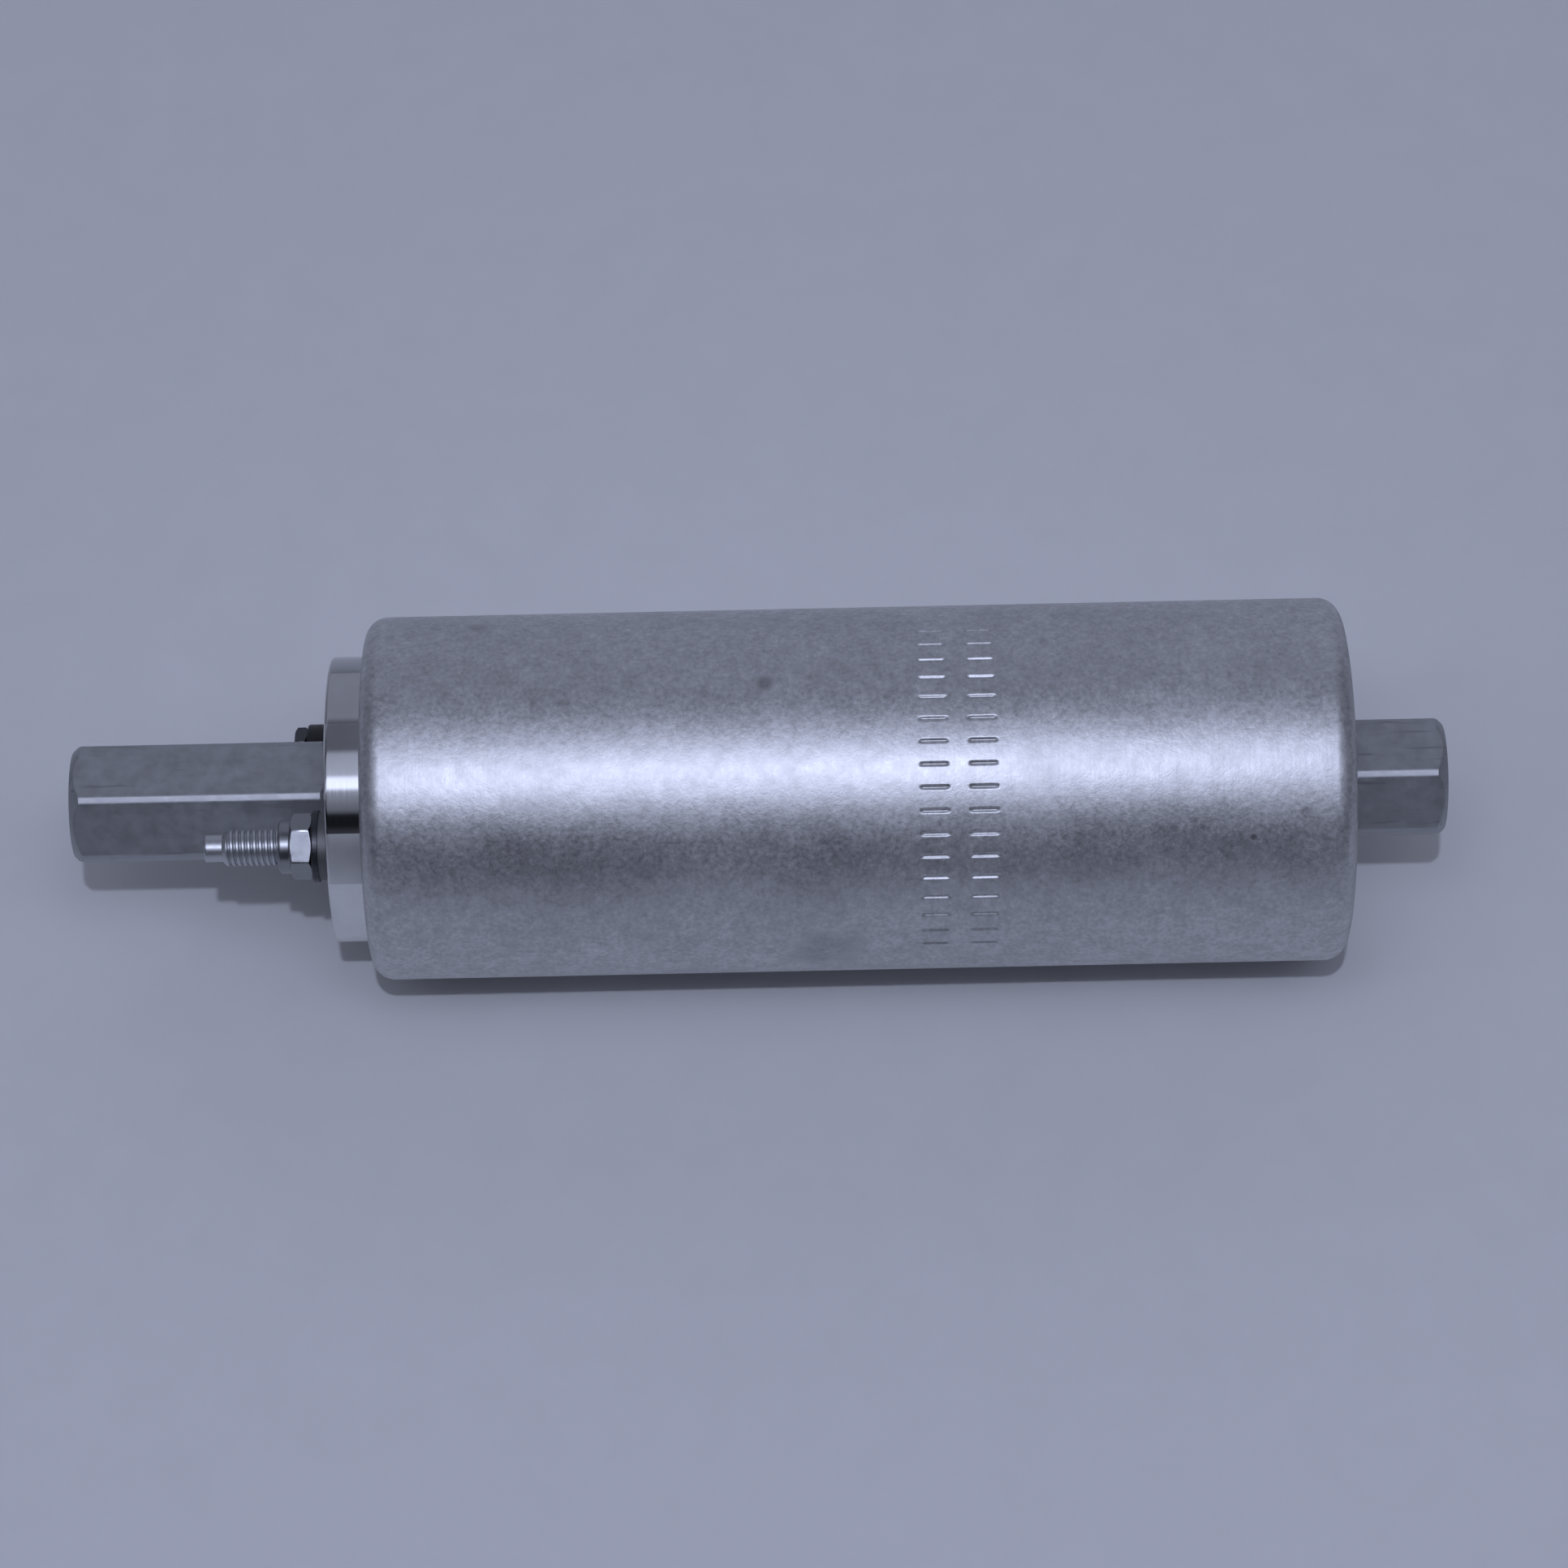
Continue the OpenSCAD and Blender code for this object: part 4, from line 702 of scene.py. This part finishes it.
# Plain finishes: name, colour, metallic, least and most roughness, grain in mm, contrast, height in mm
# and the grain's stretch, which is small along the direction that the grain runs in
PLAIN = {
    # Pale and dull, with a coarse skin
    "cast_aluminium": ("Die cast aluminium", "B9BBBD", 1.0, 0.45, 0.62, 1.2, 0.2, 0.04),
    # Dull grey, stamped
    "soft_aluminium": ("Soft aluminium sheet, stamped", "A8AAAE", 1.0, 0.4, 0.55, 0.6, 0.2, 0.02),
    # Nearly black, with an oily sheen
    "dark_steel": ("Steel, black oxide", "505155", 1.0, 0.32, 0.5, 0.5, 0.3, 0.01),
    # Mid grey, with a clear sheen
    "polished_steel": ("Steel, ground and polished", "989A9D", 1.0, 0.26, 0.36, 1.5, 0.12, 0.0003),
    # Mid grey, with rolling lines along it
    "mild_steel": ("Mild steel tube, rolled", "9A9CA0", 1.0, 0.38, 0.55, 0.5, 0.25, 0.02, (0.05, 1, 1)),
    # Grey, with stripes of 0.5 mm sheets across the axis
    "lamination_steel": (
        "Electrical steel laminations", "8A8D93", 1.0, 0.35, 0.5, 0.5, 0.35, 0.03, (1, 0.03, 0.03)
    ),
    # Dark, with open pores
    "sintered_steel": ("Sintered steel, ground", "85868A", 1.0, 0.35, 0.55, 0.35, 0.35, 0.02),
    # Grey and smooth
    "spring_steel": ("Spring steel, drawn", "A9ABAF", 1.0, 0.25, 0.38, 0.4, 0.15, 0.004),
    # Yellow and bright
    "brass": ("Brass, turned", "D9B25E", 1.0, 0.2, 0.35, 0.5, 0.15, 0.006),
    # Brown, with fine pores
    "bronze": ("Bronze bearing, sintered", "B58550", 1.0, 0.35, 0.5, 0.3, 0.25, 0.015),
    # Red and bright, a little tarnished
    "copper": ("Copper strip, rolled", "D48A66", 1.0, 0.25, 0.4, 1.5, 0.2, 0.006),
    # Copper under a clear amber varnish
    "enamelled_wire": ("Copper wire, enamelled", "A4552B", 0.6, 0.18, 0.3, 0.6, 0.2, 0.006),
    # Charcoal and gritty
    "ferrite": ("Ferrite, fired", "3B3C3F", 0.0, 0.55, 0.75, 0.4, 0.3, 0.02),
    # Black, with a graphite sheen
    "carbon": ("Carbon brush, pressed", "2A2A2C", 0.3, 0.42, 0.6, 0.3, 0.35, 0.02),
    # Black and matt
    "seal_rubber": ("Nitrile rubber, moulded", "1A1A1B", 0.0, 0.5, 0.65, 0.8, 0.2, 0.01),
    # Creamy and waxy
    "natural_nylon": ("Nylon, natural", "E2DBC6", 0.0, 0.35, 0.5, 0.8, 0.08, 0.008),
    # Deep blue and waxy
    "blue_nylon": ("Nylon ring, blue", "2C4F9E", 0.0, 0.35, 0.5, 0.5, 0.15, 0.008),
    # Dark brown and glossy
    "moulding_resin": ("Phenolic resin, moulded", "4A2A1C", 0.0, 0.3, 0.45, 0.6, 0.2, 0.008),
    # Tan and fibrous
    "fibre_board": ("Vulcanised fibre board", "B08A5C", 0.0, 0.55, 0.75, 0.5, 0.25, 0.02, (1, 0.2, 1)),
}


def make_coats(finishes):
    """One material for each of the record's slots."""
    boss_face, boss_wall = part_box("outlet_seal_washer")[1].x, 19.7 * MM
    coats = {
        "drawn_aluminium": drawn_aluminium(finishes.can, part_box("shell")),
        "turned_aluminium": turned_aluminium(finishes.cap, boss_face, boss_wall),
        "plated_steel": plated_steel(finishes.hexes),
        # Silvery, with a fine crystal grain
        "zinc_steel": grained(
            "Steel, bright zinc plated", finishes.zinc, 1.0, 0.36, 0.48, 0.35, 0.12, 0.004
        ),
        # Black, with a soft sheen and a moulded grain
        "black_nylon": grained(
            "Nylon, black, moulded", finishes.insulator, 0.0, 0.38, 0.52, 0.5, 0.2, 0.012
        ),
    }
    for slot, (name, code, *rest) in PLAIN.items():
        coats[slot] = grained(name, linear(code), *rest)
    return coats


COATS = {}


# Operators


class MakeCoats(bpy.types.Operator):
    """Makes the materials, and gives every CAD node the one of its slot"""

    bl_idname = "pump.make_coats"
    bl_label = "Make the materials"

    def execute(self, context):
        COATS.update(make_coats(context.scene.pump_finishes))
        for node, slot in SLOTS.items():
            materials = frame["nodes"][node].data.materials
            materials.clear()
            materials.append(COATS[slot])
        return {"FINISHED"}


class MakeCan(bpy.types.Operator):
    """Makes the drawn can with its rolled ends and its stamped strokes"""

    bl_idname = "pump.make_can"
    bl_label = "Make the can"

    def execute(self, context):
        sizes = context.scene.pump_can
        x0, x1, radius = span("shell")
        dome_count, corner_steps, plain_count, margin = 13, 14, 130, 0.02
        inner = radius - sizes.wall
        x_in = x1 - sizes.dome - sizes.wall
        # The domed end runs into the corner at the dome's own slope
        corner_r = radius - sizes.corner
        slope = math.atan(2 * sizes.dome / (corner_r - sizes.land_r))
        dome_r = corner_r + sizes.corner * math.sin(slope)
        drop = sizes.dome + sizes.corner * (1 - math.cos(slope))
        dome = [
            (sizes.land_r + (dome_r - sizes.land_r) * share, x1 - drop * share * share)
            for share in np.linspace(0, 1, dome_count)
        ]
        tip_x = x1 - drop - (radius - dome_r) * math.tan(slope)
        reach = (sizes.mark_gap + sizes.mark_length) / 2 + MM
        points = outline([
            *dome, (radius, tip_x, sizes.corner), (radius, x1 - 2 * sizes.corner),
            (radius, sizes.mark_station + reach, 0, STROKE_STEP), (radius, sizes.mark_station - reach),
            (radius, x0 + 2 * sizes.corner), (radius, x0, sizes.corner), (sizes.lip_r, x0, sizes.lip_edge),
            (sizes.lip_r, x0 + sizes.wall), (inner, x0 + sizes.wall), (inner, x_in),
            (sizes.hole_r, x_in), (sizes.hole_r, x1),
        ], steps=corner_steps, support=0)
        half = sizes.mark_span / 2 + margin
        fine = np.arange(-half, half, STROKE_STEP_AROUND / radius)
        plain = np.linspace(half, TURN - half, plain_count)[:-1]
        piece = revolve("can", points, sizes.mark_middle + np.concatenate((fine, plain)))
        values = {key: getattr(sizes, f"mark_{key.lower()}") for key in MARKS}
        apply_tree(piece, stroke_tree(COATS["drawn_aluminium"]), {"Radius": radius, **values})
        finish(piece, "pump_body", "drawn_aluminium", "shell")
        return {"FINISHED"}


class MakeHexes(bpy.types.Operator):
    """Makes the outlet and inlet hex fittings with their threaded ports"""

    bl_idname = "pump.make_hexes"
    bl_label = "Make the hex fittings"

    def execute(self, context):
        sizes = context.scene.pump_hexes
        threads = thread_tree(COATS["plated_steel"])
        x_end, x_foot, _ = span("outlet_fitting")
        x_shoulder, _, _ = span("outlet_seal_washer")
        x_seat = x_shoulder - sizes.seat_back
        make_hex(
            sizes, threads, "outlet_hex", "outlet_fitting", (x_end, x_shoulder, x_foot),
            sizes.outlet_spigot_r,
            [(sizes.chamber_r, x_end + sizes.port_l), (sizes.chamber_r, x_seat), (sizes.seat_r, x_seat)],
        )
        x_foot, x_end, _ = span("inlet_fitting")
        _, x_shoulder, _ = span("shell")
        make_hex(
            sizes, threads, "inlet_hex", "inlet_fitting", (x_end, x_shoulder, x_foot),
            sizes.inlet_spigot_r, [(sizes.passage_r, x_end - sizes.port_l)],
        )
        return {"FINISHED"}


def make_hex(sizes, threads, name, node, stations, spigot_r, inside):
    """Hex fitting from its end, shoulder and spigot's foot, with its outline from the port to the bore."""
    x_end, x_shoulder, x_foot = stations
    way = math.copysign(1, x_end - x_shoulder)
    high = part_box(node)[1]
    corner_r, across = high.y, 2 * high.z
    x_floor = x_end - way * sizes.port_l
    foot_edge, chamfer_edge, rim_edge = 0.3 * MM, 0.2 * MM, 0.1 * MM
    points = outline([
        (inside[-1][0], x_foot), (spigot_r, x_foot, foot_edge), (spigot_r, x_shoulder),
        (corner_r - sizes.shoulder, x_shoulder, 0, HEX_STEP),
        (corner_r, x_shoulder + way * sizes.shoulder, rim_edge),
        (corner_r, x_end - way * sizes.chamfer, chamfer_edge, HEX_STEP),
        (corner_r - sizes.chamfer, x_end, chamfer_edge), (sizes.port_r + sizes.mouth, x_end, rim_edge),
        (sizes.port_r, x_end - way * sizes.mouth, 0, PORT_STEP), (sizes.port_r, x_floor), *inside,
    ])
    piece = revolve(name, points, hex_angles(0), shape=hex_cut(across, 0, sizes.edge))
    # The thread begins to fade in within the mouth's chamfer
    start, end = sorted((x_floor, x_end - way * 0.3 * sizes.mouth))
    apply_tree(piece, threads, {
        "Axis": (0, 0, 0), "Wall radius": sizes.port_r, "Start": start, "End": end,
        "Pitch": sizes.pitch, "Depth": sizes.depth,
    })
    finish(piece, "pump_body", "plated_steel", node)


class MakeStuds(bpy.types.Operator):
    """Makes the two threaded terminal studs"""

    bl_idname = "pump.make_studs"
    bl_label = "Make the studs"

    def execute(self, context):
        sizes = context.scene.pump_terminals
        threads = thread_tree(COATS["zinc_steel"])
        for name, node, radius, pitch in (
            ("front_stud", "negative_stud", sizes.front_r, sizes.front_pitch),
            ("rear_stud", "positive_stud", sizes.rear_r, sizes.rear_pitch),
        ):
            x0, x1, head_r = span(node)
            centre = middle(node)
            point_r = radius * sizes.point_share
            x_thread = x0 + sizes.point_l + radius - point_r
            x_head = x1 - sizes.head_l
            points = outline([
                (0, x0), (point_r, x0, 3 * sizes.edge), (point_r, x0 + sizes.point_l),
                (radius, x_thread, 0, STUD_STEP), (radius, x_head), (head_r, x_head, sizes.edge),
                (head_r, x1, sizes.edge), (0, x1),
            ])
            piece = revolve(name, points, even_angles(48), centre)
            apply_tree(piece, threads, {
                "Axis": (0, *centre), "Wall radius": radius, "Start": x_thread - pitch, "End": x_head,
                "Pitch": pitch, "Depth": sizes.thread_share * pitch,
            })
            finish(piece, "pump_body", "zinc_steel", node)
        return {"FINISHED"}


class MakeNuts(bpy.types.Operator):
    """Makes the front lock nut and the rear thin nut"""

    bl_idname = "pump.make_nuts"
    bl_label = "Make the nuts"

    def execute(self, context):
        sizes = context.scene.pump_terminals
        x0, x1, _ = span("negative_nut")
        x_hex, x_ring = x0 + sizes.lock_collar_h, x0 + sizes.ring_h
        foot_edge, rim_edge = 0.2 * MM, 0.8 * (sizes.lock_collar_h - sizes.ring_h)
        collar = [
            (sizes.lock_collar_r, x_hex, foot_edge), (sizes.lock_collar_r, x0, rim_edge),
            (sizes.ring_r, x0, sizes.edge), (sizes.ring_r, x_ring), (sizes.front_r + sizes.gap, x_ring),
        ]
        make_nut(
            "lock_nut", "negative_nut", (x_hex, x1), sizes.lock_af, sizes.lock_turn, sizes.edge, collar,
            "negative_nut", "polished_steel", middle("negative_stud"),
        )
        x0, x1, _ = span("positive_nut")
        top = [(sizes.rear_r + sizes.gap, x0, sizes.edge)]
        make_nut(
            "thin_nut", "positive_nut", (x0, x1), sizes.thin_af, sizes.thin_turn, sizes.edge, top,
            "pump_body", "dark_steel", middle("positive_stud"),
        )
        return {"FINISHED"}


def make_nut(name, node, stations, across, corner, edge, top, body, slot, centre):
    """Nut with both ends of its hex chamfered; top is the outline from its outer face to its bore."""
    x0, x1 = stations
    corner_r = across / 2 / math.cos(SIXTH / 2)
    bevel = 0.6 * (corner_r - across / 2)
    points = outline([
        (top[-1][0], x1, edge), (across / 2, x1, 0, NUT_STEP), (corner_r, x1 - bevel),
        (corner_r, x0 + bevel, 0, NUT_STEP), (across / 2, x0), *top,
    ])
    piece = revolve(name, points, hex_angles(corner), centre, hex_cut(across, corner, edge))
    finish(piece, body, slot, node)


class MakeWashers(bpy.types.Operator):
    """Makes the front washer, the outlet's seal washer and the rear insulator"""

    bl_idname = "pump.make_washers"
    bl_label = "Make the washers"

    def execute(self, context):
        sizes = context.scene.pump_terminals
        edge = sizes.edge
        bore = sizes.front_r + sizes.gap
        x0, x1, rim = span("negative_washer")
        make_washer("front_washer", "negative_washer", "negative_washer", "dark_steel", 96, [
            (bore, x0, edge), (rim, x0, 2 * edge), (rim, x1, edge), (bore, x1, edge),
        ])
        bore = context.scene.pump_hexes.outlet_spigot_r + sizes.gap
        x0, x_boss, rim = span("outlet_seal_washer")
        make_washer("seal_washer", "outlet_seal_washer", "pump_body", "soft_aluminium", 128, [
            (bore, x0, edge), (rim, x0, 2 * edge), (rim, x_boss, 2 * edge), (bore, x_boss, edge),
        ])
        bore = sizes.rear_r + sizes.gap
        x0, x1, rim = span("positive_insulator")
        make_washer("rear_insulator", "positive_insulator", "pump_body", "black_nylon", 96, [
            (bore, x0, edge), (rim, x0, 3 * edge), (rim, x_boss, edge), (sizes.sleeve_r, x_boss),
            (sizes.sleeve_r, x1), (bore, x1),
        ])
        return {"FINISHED"}


def make_washer(name, node, body, slot, count, corners):
    """Round piece from its outline's corners, turned in count steps about the middle of its CAD node."""
    piece = revolve(name, outline(corners), even_angles(count), middle(node))
    finish(piece, body, slot, node)


class MakeSprings(bpy.types.Operator):
    """Makes the valve springs and the brush springs"""

    bl_idname = "pump.make_springs"
    bl_label = "Make the springs"

    def execute(self, context):
        sizes = context.scene.pump_wires
        tree = coil_tree(COATS["spring_steel"])
        for node, along, coil_r, wire_r, turns, joint, fixed in (
            ("check_valve_spring", 0, sizes.check_r, sizes.check_wire, 6, "check_valve_lift", 0),
            ("relief_valve_spring", 0, sizes.relief_r, sizes.relief_wire, 5, "relief_valve_lift", 1),
            ("brush_spring_upper", 2, sizes.brush_r, sizes.brush_wire, 5, "brush_upper_slide", 1),
            ("brush_spring_lower", 2, sizes.brush_r, sizes.brush_wire, 5, "brush_lower_slide", 0),
        ):
            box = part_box(node)
            piece = make_coil(tree, f"{node}_coil", box, along, coil_r, wire_r, turns)
            finish(piece, "pump_body", "spring_steel", node)
            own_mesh(piece)
        return {"FINISHED"}


def make_coil(tree, name, box, along, coil_r, wire_r, turns):
    """Coil of wire in the middle of a box, along its X or Z."""
    low, high = box
    start = (low + high) / 2
    start[along] = low[along] + wire_r
    piece = new_object(name, bpy.data.meshes.new(name))
    apply_tree(piece, tree, {
        "Start": tuple(start), "Tilt": (0, 0 if along else TURN / 4, 0),
        "Length": high[along] - low[along] - 2 * wire_r, "Turns": float(turns),
        "Coil radius": coil_r, "Wire radius": wire_r,
    })
    tidy_mesh(piece.data)
    return piece


class MakeChokes(bpy.types.Operator):
    """Makes the windings of the two chokes"""

    bl_idname = "pump.make_chokes"
    bl_label = "Make the chokes"

    def execute(self, context):
        sizes = context.scene.pump_wires
        tree = coil_tree(COATS["enamelled_wire"])
        low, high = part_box("choke_windings")
        reach = Vector((0, sizes.choke_r + sizes.choke_wire, sizes.choke_r + sizes.choke_wire))
        for name, stud in (("choke_coil_front", "negative_stud"), ("choke_coil_rear", "positive_stud")):
            y, z = middle(stud)
            box = (Vector((low.x, y, z)) - reach, Vector((high.x, y, z)) + reach)
            piece = make_coil(tree, name, box, 0, sizes.choke_r, sizes.choke_wire, 8)
            finish(piece, "pump_body", "enamelled_wire", "choke_windings")
        return {"FINISHED"}


class MakeStage(bpy.types.Operator):
    """Makes the floor, the soft light and the camera"""

    bl_idname = "pump.make_stage"
    bl_label = "Make the stage"

    def execute(self, context):
        sizes = context.scene.pump_stage
        make_floor(CAD_BOX[0].z, context.scene.pump_finishes.floor)
        make_camera(sizes)
        for name in ("key", "fill"):
            make_lamp(name, sizes)
        make_room(sizes.tone)
        context.scene.view_settings.view_transform = "Standard"
        return {"FINISHED"}


def make_floor(height, base):
    """Pale table top under the pump."""
    mesh = bpy.data.meshes.new("floor")
    reach = 12
    mesh.from_pydata([
        (-reach, -reach, height), (reach, -reach, height), (reach, reach, height), (-reach, reach, height),
    ], [], [(0, 1, 2, 3)])
    floor = new_object("floor", mesh)
    # Laminate: an even pale top with the faintest mottle
    mesh.materials.append(grained("Laminate table top", base, 0.0, 0.55, 0.65, 8, 0.03, 0.005))


def view_line(elevation):
    """Direction from the pump towards a height above the horizon on the camera's side."""
    return Vector((0, -math.cos(elevation), math.sin(elevation)))


def make_camera(sizes):
    """Long lens at the photograph's angle, turned a little about its own axis."""
    data = bpy.data.cameras.new("camera")
    data.sensor_width = 36
    data.lens = data.sensor_width * sizes.distance / sizes.width
    data.clip_start, data.clip_end = 0.1, 50
    camera = new_object("camera", data)
    bpy.context.scene.camera = camera
    back = view_line(sizes.elevation)
    aimed = (-back).to_track_quat("-Z", "Y") @ Quaternion((0, 0, 1), -sizes.roll)
    aim = Vector((sizes.aim_x, 0, 0)) + aimed @ Vector((0, sizes.aim_up, 0))
    camera.rotation_mode = "QUATERNION"
    camera.rotation_quaternion = aimed
    camera.location = aim + back * sizes.distance


def make_lamp(name, sizes):
    """Round soft lamp on the camera's side, aimed at the pump; its own sizes begin with its name."""
    elevation, away, width, watts = (
        getattr(sizes, f"{name}_{key}") for key in ("elevation", "distance", "size", "power")
    )
    data = bpy.data.lights.new(name, "AREA")
    data.shape = "DISK"
    data.size = width
    data.energy = watts
    data.color = sizes.tone[:3]
    lamp = new_object(name, data)
    line = view_line(elevation)
    lamp.location = Vector((sizes.light_x, 0, 0)) + line * away
    lamp.rotation_mode = "QUATERNION"
    lamp.rotation_quaternion = (-line).to_track_quat("-Z", "Y")
    lamp.visible_camera = False


# Brightness of the room at each height, in degrees from the camera's side over the top to the far side
ROOM = (
    (0, 0.035), (31, 0.04), (35, 0.01), (44, 0.01), (48, 0.16), (63, 0.3), (66, 1.3), (73, 1.3), (76, 0.5),
    (93, 0.4), (97, 0.13), (120, 0.13), (126, 0.36), (180, 0.36),
)


def make_room(tone):
    """Dim room with a soft strip of light overhead, which the bright metal reflects."""
    world = bpy.data.worlds.new("room")
    bpy.context.scene.world = world
    world.use_nodes = True
    world.node_tree.nodes.clear()
    add = partial(put, world.node_tree)
    place = add("ShaderNodeTexCoord").outputs["Generated"]
    part = add("ShaderNodeSeparateXYZ", (place,)).outputs
    ahead = add(MATH, (part["Y"], -1.0), "MULTIPLY")
    angle = add(MATH, (part["Z"], ahead), "ARCTAN2")
    share = add(MATH, (angle, math.pi), "DIVIDE")
    ramp = add("ShaderNodeValToRGB", (share,))
    stops = ramp.color_ramp.elements
    for degrees, level in ROOM:
        here = [stop for stop in stops if stop.position == degrees / 180]
        stop = here[0] if here else stops.new(degrees / 180)
        stop.color = (*[level * channel for channel in tone[:3]], 1.0)
    # The room is darker to both sides
    sideways = add(MATH, (part["X"],), "ABSOLUTE")
    strength = add(RANGE, (sideways, 0.35, 0.85, 1.15, 0.5))
    back = add("ShaderNodeBackground", {"Color": ramp, "Strength": strength})
    add("ShaderNodeOutputWorld", {"Surface": back})


OPERATORS = (
    MakeCoats, MakeCan, MakeHexes, MakeStuds, MakeNuts, MakeWashers, MakeSprings, MakeChokes, MakeStage,
)


class PumpPanel(bpy.types.Panel):
    """Lists the pump's operators and sizes"""

    bl_idname = "VIEW3D_PT_fuel_pump"
    bl_label = "Fuel pump"
    bl_space_type = "VIEW_3D"
    bl_region_type = "UI"
    bl_category = "Fuel pump"

    def draw(self, context):
        for operator in OPERATORS:
            self.layout.operator(operator.bl_idname)
        for name, group in GROUPS.items():
            box = self.layout.box()
            box.label(text=group.__doc__)
            for key in group.__annotations__:
                box.prop(getattr(context.scene, name), key)


def register():
    """Registers the property groups, the operators and the panel."""
    for group in (*GROUPS.values(), *OPERATORS, PumpPanel):
        bpy.utils.register_class(group)
    for name, group in GROUPS.items():
        setattr(bpy.types.Scene, name, bpy.props.PointerProperty(type=group))


def unregister():
    """Takes the add-on out again."""
    for name in GROUPS:
        delattr(bpy.types.Scene, name)
    for group in (PumpPanel, *OPERATORS, *GROUPS.values()):
        bpy.utils.unregister_class(group)


def main():
    """Makes every piece and the stage."""
    register()
    for operator in OPERATORS:
        family, name = operator.bl_idname.split(".")
        getattr(getattr(bpy.ops, family), name)()


if __name__ == "__main__":
    main()
